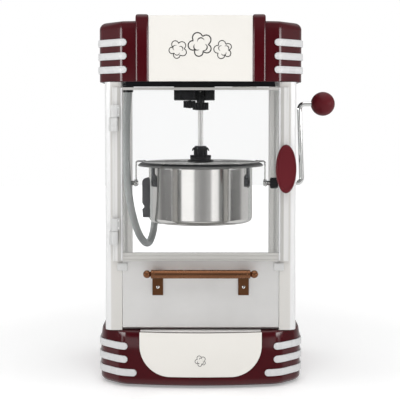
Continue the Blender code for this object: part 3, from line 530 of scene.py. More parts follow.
def loft(rings, cap_last=True):
    """Closed rings of equal length joined by quads, with flat caps on the ends."""
    bm = bmesh.new()
    made = [[bm.verts.new(point) for point in ring] for ring in rings]
    count = len(made[0])
    for first, second in zip(made, made[1:]):
        for i in range(count):
            j = (i + 1) % count
            bm.faces.new((first[i], first[j], second[j], second[i]))
    bm.faces.new(made[0])
    if cap_last:
        bm.faces.new(made[-1])
    return bm


def ways(path):
    """The direction of a path at each of its points."""
    return [(after - before).normalized() for before, after in zip([path[0], *path], [*path[1:], path[-1]])]


def tube(name, path, radius, sides=20):
    """A round tube along a path."""
    path = [Vector(point) for point in path]
    side = (path[1] - path[0]).normalized().orthogonal().normalized()
    rings = []
    for point, ahead in zip(path, ways(path)):
        side = (side - ahead * side.dot(ahead)).normalized()
        other = ahead.cross(side)
        turn = [tau * k / sides for k in range(sides)]
        rings.append([point + (side * cos(a) + other * sin(a)) * radius for a in turn])
    return shade(new_object(name, loft(rings)), 50)


def flat(name, loops, bottom, top, along="Z"):
    """Flat outlines extruded from bottom to top; loops after the first are holes.

    The outline's coordinates are (x, y) along Z, (x, z) along Y and (y, z) along X.
    """
    curve = bpy.data.curves.new(name, "CURVE")
    curve.dimensions = "2D"
    curve.fill_mode = "BOTH"
    curve.extrude = (top - bottom) / 2
    for loop in loops:
        spline = curve.splines.new("POLY")
        spline.points.add(len(loop) - 1)
        for point, (x, y) in zip(spline.points, loop):
            point.co = (x, y, 0, 1)
        spline.use_cyclic_u = True
    guide = placed(f"{name}_guide", curve)
    graph = bpy.context.evaluated_depsgraph_get()
    mesh = bpy.data.meshes.new_from_object(guide.evaluated_get(graph))
    bpy.data.objects.remove(guide)
    middle = (bottom + top) / 2
    turns = {
        "X": Matrix(((0, 0, 1, middle), (1, 0, 0, 0), (0, 1, 0, 0), (0, 0, 0, 1))),
        "Y": Matrix(((1, 0, 0, 0), (0, 0, -1, middle), (0, 1, 0, 0), (0, 0, 0, 1))),
        "Z": Matrix.Translation((0, 0, middle)),
    }
    mesh.transform(turns[along])
    bm = bmesh.new()
    bm.from_mesh(mesh)
    bpy.data.meshes.remove(mesh)
    bmesh.ops.remove_doubles(bm, verts=bm.verts, dist=0.000001)
    bmesh.ops.dissolve_limit(bm, angle_limit=0.001, verts=bm.verts, edges=bm.edges)
    return new_object(name, bm)


def plate(name, loops, bottom, top, along="Z", edge=0.0004, segments=2):
    """A flat piece with softened edges, its modifiers applied."""
    obj = soften(flat(name, loops, bottom, top, along), edge, segments)
    return shade(applied(obj))


def block(name, lowest, highest, edge=0.0005, segments=3):
    """A box between two corners with rounded edges."""
    bm = bmesh.new()
    bmesh.ops.create_cube(bm, size=1)
    lowest, highest = Vector(lowest), Vector(highest)
    bmesh.ops.scale(bm, vec=highest - lowest, verts=bm.verts)
    bmesh.ops.translate(bm, vec=(lowest + highest) / 2, verts=bm.verts)
    bmesh.ops.bevel(bm, geom=bm.edges[:], offset=edge, segments=segments, profile=0.5, affect="EDGES")
    return shade(new_object(name, bm), 40)


def merged(name, *objects):
    """One object from several closed ones."""
    bm = bmesh.new()
    for obj in objects:
        mesh = obj.data.copy()
        mesh.transform(obj.matrix_world)
        bm.from_mesh(mesh)
        bpy.data.meshes.remove(mesh)
        bpy.data.objects.remove(obj)
    mesh = bpy.data.meshes.new(name)
    bm.to_mesh(mesh)
    bm.free()
    return shade(placed(name, mesh))


def carve(obj, *cutters):
    """Cuts closed objects from another, for good."""
    for cutter in cutters:
        modifier = obj.modifiers.new("Cut", "BOOLEAN")
        modifier.operation = "DIFFERENCE"
        modifier.solver = "EXACT"
        modifier.object = cutter
    bpy.context.view_layer.update()
    applied(obj)
    for cutter in cutters:
        bpy.data.objects.remove(cutter)
    shade(obj)


# ---------------------------------------------------------------- outlines


def arc(centre_point, radius, start, end, count):
    """Points on an arc, in degrees, with both ends."""
    angles = [radians(start + (end - start) * i / count) for i in range(count + 1)]
    x, y = centre_point
    return [Vector((x + radius * cos(a), y + radius * sin(a))) for a in angles]


def circle(centre_point, radius, count=48):
    return arc(centre_point, radius, 0, 360, count)[:-1]


def rounded(corners, step=8):
    """A closed outline from (x, y, radius) corners, each corner with a radius made into an arc."""
    outline = []
    for i, (x, y, radius) in enumerate(corners):
        here = Vector((x, y))
        if not radius:
            outline.append(here)
            continue
        before = (Vector(corners[i - 1][:2]) - here).normalized()
        after = (Vector(corners[(i + 1) % len(corners)][:2]) - here).normalized()
        half = before.angle(after) / 2
        middle = here + (before + after).normalized() * radius / sin(half)
        start = here + before * radius / tan(half) - middle
        end = here + after * radius / tan(half) - middle
        sweep = start.angle_signed(end)
        count = max(2, round(abs(degrees(sweep)) / step))
        for k in range(count + 1):
            outline.append(middle + Matrix.Rotation(-sweep * k / count, 2) @ start)
    return outline


def box_outline(lowest, highest, radius=0.0):
    (a, b), (c, d) = lowest, highest
    return rounded([(a, b, radius), (c, b, radius), (c, d, radius), (a, d, radius)])


def normals_of(path, closed=True):
    """Normals to the right of a path's direction, one for each point, as long as a mitre there has to be."""
    found = []
    for i, point in enumerate(path):
        near = []
        if closed or i > 0:
            near.append((point - path[i - 1]).normalized())
        if closed or i < len(path) - 1:
            near.append((path[(i + 1) % len(path)] - point).normalized())
        sides = [Vector((way.y, -way.x)) for way in near]
        middle = sum(sides, Vector((0, 0))).normalized()
        found.append(middle / middle.dot(sides[0]))
    return found


def bow_y(x):
    return FRONT + BOW_RADIUS - sqrt(BOW_RADIUS**2 - x**2)


def plan(cheek_x, cheek_round, side_round):
    """Outline of the base or head from above, counter-clockwise from the right cheek."""
    cheek_y = bow_y(cheek_x)
    side_y = cheek_y + HALF_WIDTH - cheek_x
    corners = [
        (cheek_x, cheek_y, cheek_round),
        (HALF_WIDTH, side_y, side_round),
        (HALF_WIDTH, BACK, 0.012),
        (-HALF_WIDTH, BACK, 0.012),
        (-HALF_WIDTH, side_y, side_round),
        (-cheek_x, cheek_y, cheek_round),
    ]
    reach, steps = CHEEK_X - 0.013, 36
    xs = [reach * (2 * i / steps - 1) for i in range(steps + 1)]
    return rounded(corners + [(x, bow_y(x), 0) for x in xs])


BASE_PLAN = plan(CHEEK_X, 0.03, 0.034)
HEAD_PLAN = plan(CHEEK_X - 0.001, 0.008, 0.016)


def smooth(points, per_span=8):
    """A Catmull-Rom curve through the points."""
    points = [Vector(point) for point in points]
    ends = [2 * points[0] - points[1], *points, 2 * points[-1] - points[-2]]
    path = []
    for a, b, c, d in zip(ends, ends[1:], ends[2:], ends[3:]):
        for step in range(per_span):
            t = step / per_span
            turn = (c - a) * t + (2 * a - 5 * b + 4 * c - d) * t**2 + (3 * b - a - 3 * c + d) * t**3
            path.append(b + turn / 2)
    return path + [points[-1]]


def bent(points, radius, count=12):
    """Straight runs joined by arcs of one bend radius."""
    points = [Vector(point) for point in points]
    path = [points[0]]
    for before, here, after in zip(points, points[1:], points[2:]):
        back, on = (before - here).normalized(), (after - here).normalized()
        half = back.angle(on) / 2
        middle = here + (back + on).normalized() * radius / sin(half)
        start = here + back * radius / tan(half) - middle
        axis = back.cross(on).normalized()
        for step in range(count + 1):
            angle = (pi - 2 * half) * step / count
            path.append(middle + Matrix.Rotation(-angle, 3, axis) @ start)
    return path + [points[-1]]


def spaced(path, gap):
    """The path with points added so that none is further than gap from the next."""
    out = [path[0]]
    for a, b in zip(path, path[1:]):
        count = max(1, ceil((b - a).length / gap))
        out += [a.lerp(b, k / count) for k in range(1, count + 1)]
    return out


# ---------------------------------------------------------------- small hardware


def screw(name, place, along, radius, look, body, height):
    """A domed cross-head screw, its underside at place."""
    dome = ((0, 1), (0.45, 0.97), (0.78, 0.78), (0.96, 0.4), (1, 0), (0, 0))
    head = lathe(name, [(radius * r, height * h) for r, h in dome], (0, 0, 0), steps=24)
    reach, half = radius * 0.55, radius * 0.14
    cross = [
        block(f"{name}_slot_{i}", (-a, -b, height * 0.45), (a, b, height * 2), radius * 0.03, 1)
        for i, (a, b) in enumerate(((reach, half), (half, reach)))
    ]
    carve(head, *cross)
    dress(moved(head, place, TURNS[along]), look, body)


# ---------------------------------------------------------------- shells of head and base


def shell_rings(outline, profile):
    """Rings of an outline; profile holds (inset, height) pairs, or functions of a point giving them."""
    normals = normals_of(outline)
    rings = []
    for entry in profile:
        ring = []
        for point, normal in zip(outline, normals):
            inset, z = entry(point) if callable(entry) else entry
            ring.append((*(point - normal * inset), z))
        rings.append(ring)
    return rings


def head_round(point):
    """Radius of the head's upper edge: small along the bowed front, larger at the sides and back."""
    share = min(1, max(0, (point.y - bow_y(CHEEK_X) + 0.004) / 0.03))
    return 0.0045 + 0.005 * share * share * (3 - 2 * share)


def make_head():
    top, bottom = HEAD_TOP, HEAD_BOTTOM

    def edge(angle):
        sine, cosine = sin(angle), cos(angle)
        return lambda p: (head_round(p) * (1 - cosine), top - head_round(p) * (1 - sine))

    profile = [(WALL, top - WALL - 0.004), (WALL, bottom), (0.0005, bottom), (0.0, bottom + 0.0006)]
    profile += [(0.0, bottom + (top - 0.01 - bottom) * k / 8) for k in range(1, 9)]
    profile += [edge(a) for a in quarter(8)]
    casing = shade(new_object("head_casing", loft(shell_rings(HEAD_PLAN, profile))), 38)

    # The roof between the ridges, and the two ridges that run up the front and over the top
    roof_front = bow_y(RIDGE_X[0]) + 0.002
    half = RIDGE_X[0] + 0.002
    roof = block("roof", (-half, roof_front, top - 0.01), (half, BACK - 0.003, ROOF_TOP), 0.0015)
    casing = merged("head_casing", casing, roof, *(ridge(name, hand) for name, hand in HANDS))
    dress(casing, "maroon", "cabinet", "head_shell")


def ridge(name, hand):
    """One raised bar: a round-edged section swept up the front, over the top and down the back."""
    middle = hand * sum(RIDGE_X) / 2
    half, bend = (RIDGE_X[1] - RIDGE_X[0]) / 2, 0.0065
    front, rear = bow_y(RIDGE_X[1]) - RIDGE_PROUD, BACK + 0.0008
    run = [(front, HEAD_BOTTOM + 0.0003), (front, RIDGE_TOP), (rear, RIDGE_TOP), (rear, HEAD_BOTTOM + 0.0003)]
    path = spaced(bent([(middle, y, z) for y, z in run], bend, 14), 0.02)
    round_edge, depth = 0.003, 0.0085
    section = [(-half, -depth)]
    section += [(-half + round_edge * (1 - cos(a)), -round_edge * (1 - sin(a))) for a in quarter(7)]
    section += [(half - round_edge * (1 - cos(a)), -round_edge * (1 - sin(a))) for a in quarter(7)[::-1]]
    section.append((half, -depth))
    rings = []
    for point, ahead in zip(path, ways(path)):
        outward = Vector((0, -ahead.z, ahead.y))
        rings.append([point + Vector((x, 0, 0)) + outward * d for x, d in section])
    return shade(new_object(f"ridge_{name}", loft(rings)), 38)


def quarter(count):
    return [radians(90) * k / count for k in range(count + 1)]


def make_base():
    def slope(z):
        """The side leans in a little towards the top."""
        share = max(0, (z - 0.045) / (BASE_TOP - 0.045))
        return 0.0022 * share**2

    foot, edge = 0.0045, 0.0022
    profile = [(WALL, BASE_TOP - WALL - 0.004), (WALL, 0.0)]
    profile += [(foot * (1 - sin(a)), foot * (1 - cos(a))) for a in quarter(6)]
    heights = [foot + (BASE_TOP - edge - foot) * k / 12 for k in range(1, 13)]
    profile += [(slope(z), z) for z in heights]
    lean = slope(BASE_TOP - edge)
    profile += [(lean + edge * (1 - cos(a)), BASE_TOP - edge * (1 - sin(a))) for a in quarter(5)[1:]]
    casing = shade(new_object("base_casing", loft(shell_rings(BASE_PLAN, profile))), 38)
    dress(casing, "maroon", "cabinet", "base_shell")


def on_bow(obj, pitch=0.004):
    """Bends a flat piece, made at Y = 0, onto the bowed front: Y counts outwards from it."""
    bm = bmesh.new()
    bm.from_mesh(obj.data)
    reach = max(abs(v.co.x) for v in bm.verts)
    for i in range(-int(reach / pitch), int(reach / pitch) + 1):
        geometry = bm.verts[:] + bm.edges[:] + bm.faces[:]
        bmesh.ops.bisect_plane(bm, geom=geometry, plane_co=(i * pitch, 0, 0), plane_no=(1, 0, 0))
    for vert in bm.verts:
        vert.co.y += bow_y(vert.co.x)
    bm.to_mesh(obj.data)
    bm.free()
    return shade(obj)


def make_panels():
    """The cream front panels: a rectangle on the head, and one with large lower corners on the base."""
    face = -0.0023
    half, top = high("head_front_panel").x, high("head_front_panel").z
    shape = box_outline((-half, HEAD_BOTTOM), (half, top))
    panel = plate("head_panel", [shape], face, -GAP, "Y", 0.0009, 3)
    dress(on_bow(panel), "cream", "cabinet", "head_front_panel")

    lowest, (half, _, top) = ends_of("base_front_panel")
    radius = 0.041
    shape = rounded([(half, top, 0), (-half, top, 0), (-half, lowest.z, radius), (half, lowest.z, radius)], 4)
    panel = plate("base_panel", [shape], face, -GAP, "Y", 0.0007, 3)
    dress(on_bow(panel), "cream", "cabinet", "base_front_panel")


def kernel_outline(size, turn, middle):
    """A popped kernel: round lobes of uneven size about a middle."""
    outline = []
    lobes, count = 5, 96
    for i in range(count):
        a = tau * i / count
        swell = abs(sin(lobes * a / 2 + 0.4)) ** 0.7
        radius = size * (0.66 + 0.34 * swell + 0.07 * sin(a + 1.1))
        outline.append(Vector((middle[0] + radius * cos(a + turn), middle[1] + radius * sin(a + turn))))
    return outline


def make_ornaments():
    """A plain drawing of popped kernels on the head panel, and a small one on the base."""
    marks = {"head": [], "base": []}
    face, back = -0.00245, -0.002
    centre_z = HEAD_BOTTOM + 0.043
    kernels = ((-0.03, -0.002, 0.0125, 0.3), (0.0, 0.004, 0.0165, 1.5), (0.03, -0.002, 0.0125, 2.6))
    drawings = [("head", x, centre_z + z, size, turn) for x, z, size, turn in kernels]
    drawings.append(("base", 0.0, 0.0335, 0.0075, 1.5))
    for i, (where, x, z, size, turn) in enumerate(drawings):
        outer = kernel_outline(size, turn, (x, z))
        stroke = size * 0.085
        inner = [p - n * stroke for p, n in zip(outer, normals_of(outer))]
        marks[where].append(flat(f"{where}_mark_{i}", [outer, inner], face, back, "Y"))
        for k in range(3):
            start = degrees(turn) + 120 * k
            way = radians(start)
            middle = (x + size * 0.3 * cos(way), z + size * 0.3 * sin(way))
            curl = arc(middle, size * 0.27, start - 70, start + 100, 20)
            widths = [stroke * 0.5 * sin(pi * (0.08 + 0.84 * t / 20)) for t in range(21)]
            sides = normals_of(curl, closed=False)
            loop = [p + n * w for p, n, w in zip(curl, sides, widths)]
            loop += [p - n * w for p, n, w in zip(curl, sides, widths)][::-1]
            marks[where].append(flat(f"{where}_curl_{i}_{k}", [loop], face, back, "Y"))
    for where, drawn in marks.items():
        dress(on_bow(merged(f"{where}_ornament", *drawn), 0.006), "black", "cabinet")


def make_strip(name, outline, side, height, front_x):
    """A round-ended strip that wraps a corner of the head or base, with a fine line inside its edge."""
    corner = [p for p in outline if p.x > front_x + 0.0005 and p.y < STRIP_SIDE_Y - 0.0005]
    start = Vector((front_x, bow_y(front_x)))
    path = [start, *sorted(corner, key=lambda p: p.y + p.x), Vector((HALF_WIDTH, STRIP_SIDE_Y))]
    path = spaced(path, 0.003)
    lengths = [0.0]
    for a, b in zip(path, path[1:]):
        lengths.append(lengths[-1] + (b - a).length)
    normals = normals_of(path, closed=False)

    def at(s):
        s = min(max(s, 0), lengths[-1])
        k = max(i for i in range(len(lengths) - 1) if lengths[i] <= s)
        t = (s - lengths[k]) / (lengths[k + 1] - lengths[k])
        return path[k].lerp(path[k + 1], t), normals[k].lerp(normals[k + 1], t).normalized()

    radius = STRIP_HEIGHT / 2
    first, last = radius, lengths[-1] - radius
    run = [first + (last - first) * k / 40 for k in range(41)]
    profile = [(0, GAP), (0, 0.0013), (0.0003, 0.0018), (0.0008, 0.0021), (0.0019, 0.0022)]
    profile += [(0.0021, 0.00195), (0.0024, 0.00195), (0.0026, 0.0022)]
    rings = []
    ends = [radians(a) for a in range(90, -91, -12)]
    for inset, lift in profile:
        r = radius - inset
        loop = [(s, r) for s in run[1:-1]]
        loop += [(last + r * cos(a), r * sin(a)) for a in ends]
        loop += [(s, -r) for s in run[-2:0:-1]]
        loop += [(first - r * cos(a), -r * sin(a)) for a in ends]
        ring = []
        for s, z in loop:
            point, normal = at(s)
            place = point + normal * lift
            ring.append((side * place.x, place.y, height + z))
        rings.append(ring)
    bm = loft(rings, cap_last=False)
    bm.verts.ensure_lookup_table()
    # The flat face is closed by a ladder of quads between the upper and the lower half of its edge.
    edge = bm.verts[-len(loop) :]
    left, right = len(loop) - len(ends) // 2, len(run) - 2 + len(ends) // 2
    upper = edge[left:] + edge[: right + 1]
    lower = edge[right : left + 1][::-1]
    for a, b, c, d in zip(upper, upper[1:], lower[1:], lower):
        bm.faces.new(dict.fromkeys((a, b, c, d)))
    return new_object(name, bm)


def make_strips():
    for part, outline, heights, fronts in (
        ("head", HEAD_PLAN, HEAD_STRIPS, (0.097, 0.097, 0.097)),
        ("base", BASE_PLAN, BASE_STRIPS, (0.085, 0.097, 0.097)),
    ):
        for name, side in HANDS:
            made = [
                make_strip(f"{part}_strip_{name}_{i}", outline, side, height, front_x)
                for i, (height, front_x) in enumerate(zip(heights, fronts))
            ]
            dress(merged(f"{part}_strips_{name}", *made), "white", "cabinet", f"{part}_grille_{name}")


# ---------------------------------------------------------------- cabinet


KEPT = (
    ("base_plate", "dark_steel", 0.0003),
    ("head_underside_plate", "black", 0.0003),
    ("kernel_tray", "satin", 0.0002),
    ("drive_motor", "satin", 0.0008),
    ("mains_gland", "black", 0.0004),
)


def make_posts():
    # The rear posts take the paler copy of the post paint: painted light
    for fore, look in (("front", "post"), ("rear", "rear_post")):
        for hand, _ in HANDS:
            keep(f"post_{fore}_{hand}", look, 0.0005)
            make_foot(f"foot_{fore}_{hand}")
    for pane in ("side_glass_left", "side_glass_right", "rear_glass", "door_glass"):
        keep(pane, "pane")
    for node, look, edge in KEPT:
        keep(node, look, edge)
    place = centre("lamp_lens")
    top, bottom = high("lamp_lens").z, low("lamp_lens").z
    lens = [(0, top), (0.018, top), (0.018, top - 0.0022), (0.0172, top - 0.0027)]
    lens += [(0.015 * cos(a), bottom + 0.0037 * (1 - sin(a))) for a in quarter(8)]
    dress(lathe("lamp_cover", lens, (*place.xy, 0)), "lens", "cabinet", "lamp_lens")


def make_foot(node):
    place, top, bottom = centre(node), high(node).z, low(node).z
    profile = [(0, top), (0.011, top), (0.0109, top - 0.0012), (0.01, bottom + 0.0008), (0.0093, bottom)]
    profile += [(0.0042, bottom), (0.0038, bottom + 0.0012), (0, bottom + 0.0012)]
    dress(lathe(f"{node}_pad", profile, (*place.xy, 0), steps=48), "rubber", "cabinet", node)


def make_bushes():
    """Bushes that hold the kettle's pivots in the side panes; the right one is a long nut with grip ribs."""
    radius, bore, neck = 0.0073, 0.0038, 0.0052
    pane_in, pane_out = 0.1112, 0.1143
    ribs = 14
    for hand, side in HANDS:
        node = f"pivot_bush_{hand}"
        inner, outer = sorted((abs(low(node).x), abs(high(node).x)))
        profile = [(bore, outer), (radius - 0.0008, outer), (radius, outer - 0.0008), (radius, pane_out)]
        profile += [(neck, pane_out), (neck, pane_in), (radius, pane_in), (radius, inner + 0.001)]
        profile += [(radius - 0.001, inner), (bore, inner)]
        bush = lathe(f"bush_{hand}", [(r, side * x) for r, x in profile], PIVOT, "X", 40, closed=True)
        if hand == "left":
            dress(bush, "satin", "cabinet", node)
            continue
        grip = []
        for k in range(ribs):
            y, z = radius * cos(k * tau / ribs), radius * sin(k * tau / ribs)
            line = [(x, KETTLE.y + y, PIVOT_Z + z) for x in (inner + 0.0014, pane_in - 0.0016)]
            grip.append(tube(f"rib_{k}", line, 0.0007, 8))
        dress(merged("bush_right", bush, *grip), "black", "cabinet", node)


# ---------------------------------------------------------------- door


def make_door():
    lowest, highest = ends_of("door_frame")
    stile, top_rail, bottom_rail = 0.012, 0.0035, 0.011
    half, (_, y0, z0), (_, y1, z1) = highest.x, lowest, highest

    def member(name, section, start, end, along):
        return plate(name, [section], start, end, along, 0.00035)

    # Stiles: a shallow step down their middle
    step = 0.0007
    pieces = []
    for name, side in HANDS:
        xs = [half, half - 0.0022, half - 0.0024, half - 0.0078, half - 0.008, half - stile]
        ys = [y0, y0, y0 + step, y0 + step, y0, y0]
        section = [(side * x, y) for x, y in zip(xs, ys)] + [(side * (half - stile), y1), (side * half, y1)]
        pieces.append(member(f"stile_{name}", section, z0, z1, "Z"))
    inner = half - stile + 0.0002
    # Bottom rail: two grooves run along it
    grooves = ((0.0018, 0.0024), (0.0068, 0.0074))
    section = [(y1, z0), (y0, z0)]
    for start, end in grooves:
        section += [(y0, z0 + start), (y0 + step, z0 + start), (y0 + step, z0 + end), (y0, z0 + end)]
    section += [(y0, z0 + bottom_rail), (y1, z0 + bottom_rail)]
    # The sill is dressed in the darker copy of the door paint: painted shade
    dress(member("door_sill", section, -inner, inner, "X"), "rail", "door")
    section = [(y0, z1 - top_rail), (y1, z1 - top_rail), (y1, z1), (y0, z1)]
    pieces.append(member("rail_top", section, -inner, inner, "X"))
    # The stiles' darker inner band is painted shade
    dress(merged("door_surround", *pieces), "stile", "door", "door_frame")
    # A dark seal lines the opening, and a pale bead runs in front of it.
    beads, seals = [], []
    for name, side in HANDS:
        line = [(side * (half - stile - 0.0001), y0 + 0.0002, z) for z in (z0 + 0.001, z1 - 0.001)]
        beads.append(tube(f"bead_{name}", line, 0.0011, 16))
        x0, x1 = sorted((side * inner, side * (half - stile - 0.0008)))
        corners = (x0, y0 + 0.0004, z0 + bottom_rail), (x1, y1 - 0.0003, z1 - top_rail)
        seals.append(block(f"seal_{name}", *corners, 0.0002, 1))
    dress(merged("door_beads", *beads), "white", "door")
    dress(merged("door_seals", *seals), "rim", "door")

    make_door_knob()
    for name in ("lower", "upper"):
        make_hinge(name)


def make_door_knob():
    """A turned knob with a grooved face, stretched to its oval."""
    wide, tall = (high("door_knob") - low("door_knob")).xz / 2
    place = centre("door_knob")
    profile = [(0, 0.0156), (0.55, 0.0155), (0.8, 0.0152), (0.835, 0.0147), (0.86, 0.0151), (0.9, 0.0154)]
    profile += [(0.94, 0.0149), (0.98, 0.0134), (1.0, 0.0114), (1.0, 0.01), (0.97, 0.0088), (0.9, 0.0081)]
    profile += [(0.42, 0.0079), (0.4, 0.007), (0.4, 0.0012), (0.46, GAP), (0, GAP)]
    knob = lathe("oval_knob", [(r * wide, h) for r, h in profile], (0, 0, 0), "-Y", 96)
    knob.data.transform(Matrix.Diagonal((1, 1, tall / wide, 1)))
    knob.data.transform(Matrix.Translation((place.x, DOOR_FRONT, place.z)))
    dress(shade(knob, 25), "grip", "door", "door_knob")


def make_hinge(name):
    """One lift-off hinge: the post's knuckle and bracket, and the door's knuckle and leaf."""
    fixed, moving = f"hinge_post_{name}", f"hinge_door_{name}"
    x, y, _ = DOOR_HINGE
    radius, pin, bore = 0.0045, 0.0016, 0.0019
    foot, middle, top = low(fixed).z, low(moving).z - GAP, high(moving).z

    profile = [(0, top - 0.002), (pin - 0.0003, top - 0.002), (pin, top - 0.0024), (pin, middle)]
    profile += [(radius - 0.0004, middle), (radius, middle - 0.0004), (radius, foot + 0.0006)]
    profile += [(radius - 0.0006, foot), (0, foot)]
    knuckle = lathe(f"knuckle_post_{name}", profile, (x, y, 0), steps=40)
    left, right = low(fixed).x, low("door_frame").x - 0.0005
    arm_back = -0.1128
    arm = block(f"arm_{name}", (left, y - 0.002, foot + 0.0002), (right, arm_back, middle - 0.0002), 0.0006)
    corners = (left + 0.0005, y - 0.0016, foot + 0.0006), (x, y + 0.0021, middle - 0.0006)
    bridge = block(f"bridge_{name}", *corners, 0.0005)
    dress(merged(f"hinge_fixed_{name}", knuckle, arm, bridge), "clip", "cabinet", fixed)

    profile = [(bore, top), (radius - 0.0005, top), (radius, top - 0.0005), (radius, middle + GAP + 0.0004)]
    profile += [(radius - 0.0004, middle + GAP), (bore, middle + GAP)]
    knuckle = lathe(f"knuckle_door_{name}", profile, (x, y, 0), steps=40, closed=True)
    end, face = high(moving).x, DOOR_FRONT - GAP
    front = face - 0.0019
    leaf = block(f"leaf_{name}", (x + 0.0028, front, middle + 0.0008), (end, face, top - 0.0004), 0.0005)
    # The leaf's inner end runs into the knuckle's flank.
    corners = (x + 0.0022, y - 0.0004, middle + 0.001), (x + 0.0046, face - 0.0002, top - 0.0006)
    web = block(f"web_{name}", *corners, 0.0004)
    dress(merged(f"hinge_moving_{name}", knuckle, leaf, web), "clip", "door", moving)
    for i, z in enumerate((middle + 0.0038, top - 0.0034)):
        screw(f"hinge_screw_{name}_{i}", (end - 0.0021, front, z), "-Y", 0.0012, "satin", "door", 0.0005)


# ---------------------------------------------------------------- flap and its handle


def make_sill():
    """A steel sill on the base between the flap and the bowed front."""
    half, top, rear = 0.08, BASE_TOP + 0.0009, low("flap_panel").y + 0.0005
    front = [Vector((x, bow_y(x) + 0.0004)) for x in (half * (k / 12 - 1) for k in range(25))]
    outline = [Vector((-half, rear)), *front, Vector((half, rear))]
    dress(plate("base_sill", [outline], BASE_TOP + 0.0002, top, "Z", 0.0003), "satin", "cabinet")


def make_flap():
    keep("flap_panel", "satin", 0.0003)
    make_sill()
    keep("flap_rod", "satin", 0.0003)
    for hand, _ in HANDS:
        node = f"flap_tab_{hand}"
        lowest, highest = ends_of(node)
        tab = block(f"clip_{hand}", lowest, highest, 0.0008, 4)
        inset = 0.0012
        near = (lowest.x + inset, lowest.y - 0.0005, highest.z - 0.003)
        lip = block(f"clip_lip_{hand}", near, (highest.x - inset, lowest.y + 0.0004, highest.z - inset), 0.0003)
        dress(merged(f"flap_clip_{hand}", tab, lip), "clip", "flap", node)
    make_handle()


def make_handle():
    """A bar with a ball at each end, on two straps screwed to the flap."""
    half, radius, ball = 0.0648, 0.00575, 0.0052
    middle = half + 0.0057
    angles = [radians(d) for d in range(83, -57, -7)]
    side = [(0, middle + ball)] + [(ball * cos(a), middle + ball * sin(a)) for a in angles]
    groove = radius - 0.0003
    side += [(0.003, half + 0.001), (0.0046, half + 0.0007), (radius - 0.0002, half + 0.0003)]
    side += [(radius, half - 0.0004), (radius, half - 0.003), (groove, half - 0.0034), (groove, half - 0.004)]
    side += [(radius, half - 0.0044), (radius, 0.02)]
    profile = side + [(r, -h) for r, h in reversed(side)]
    dress(lathe("grip_bar", profile, HANDLE, "X", 48), "copper", "flap", "handle_bar")

    face = low("flap_panel").y - GAP
    screw_z = 0.1293
    for hand, _ in HANDS:
        node = f"handle_bracket_{hand}"
        lowest, highest = ends_of(node)
        reach, arm = lowest.y, HANDLE.z + 0.0015
        # Up the panel, a round bend, then out to the bar
        thick, bend = 0.002, 0.0032
        outline = [(face, lowest.z), *arc((face - bend, arm - bend), bend, 0, 90, 6), (reach, arm)]
        outline += [(reach, arm - thick), *arc((face - bend, arm - bend), bend - thick, 90, 0, 5)]
        outline.append((face - thick, lowest.z))
        dress(plate(f"strap_{hand}", [outline], lowest.x, highest.x, "X"), "darker_copper", "flap", node)
        x = (lowest.x + highest.x) / 2
        screw(f"strap_screw_{hand}", (x, face - thick, screw_z), "-Y", 0.0023, "chrome", "flap", 0.0012)


# ---------------------------------------------------------------- kettle


def make_pot():
    inner = POT_RADIUS - 0.0012
    floor, skirt = 0.2165, 0.0655
    round_in, round_out = 0.0075, 0.007
    bead = 0.0007
    profile = [(0, floor), (inner - 0.01, floor)]
    profile += [(inner - round_in * (1 - sin(a)), floor + round_in * (1 - cos(a))) for a in quarter(8)[1:]]
    profile += [(inner, POT_TOP - 0.001), (inner + bead, POT_TOP), (POT_RADIUS, POT_TOP - 0.0006)]
    profile.append((POT_RADIUS, POT_TOP - 0.0012))
    profile += [(POT_RADIUS, POT_TOP + (POT_LOW + round_in - POT_TOP) * k / 10) for k in range(1, 11)]
    profile += [(POT_RADIUS - round_out * (1 - cos(a)), POT_LOW + round_out * (1 - sin(a))) for a in quarter(8)]
    profile += [(skirt, POT_LOW), (skirt, floor - 0.0012), (0, floor - 0.0012)]
    dress(shade(lathe("pot", profile, KETTLE, steps=128), 40), "pot", "kettle", "kettle_pot")
    keep("heater_cover", "dark_steel", 0.0004)
    for name, side in HANDS:
        make_pot_strap(name, side)


def make_pot_strap(name, side):
    """A dark strap that hooks over the front of the pot under its rim, half as wide at its top."""
    angle, width, steps = radians(62), 0.015, 6
    levels = ((POT_TOP - 0.0003, 0.5), (POT_TOP - 0.009, 0.5), (POT_TOP - 0.012, 1.0), (POT_TOP - 0.027, 1.0))
    rings = []
    for z, share in levels:
        ring = []
        for radius, order in ((POT_RADIUS + 0.0001, 1), (POT_RADIUS + 0.0011, -1)):
            middle, spread = angle + (1 - share) * 0.08, width * share / POT_RADIUS
            turn = [middle + (k / steps - 0.5) * spread for k in range(steps + 1)]
            ring += [(side * radius * sin(a), KETTLE.y - radius * cos(a), z) for a in turn[::order]]
        rings.append(ring)
    dress(shade(new_object(f"pot_strap_{name}", loft(rings)), 30), "dark_steel", "kettle")


def half_disc(radius, edge, side, cut):
    """A half disc in front of (side -1) or behind (side 1) the cross bar, round the hub's cut."""
    start, inner = (degrees(asin(edge / r)) for r in (radius, cut))
    outline = arc((0, 0), radius, start, 180 - start, 64) + arc((0, 0), cut, 180 - inner, inner, 24)
    return [Vector((p.x, KETTLE.y + side * p.y)) for p in outline]


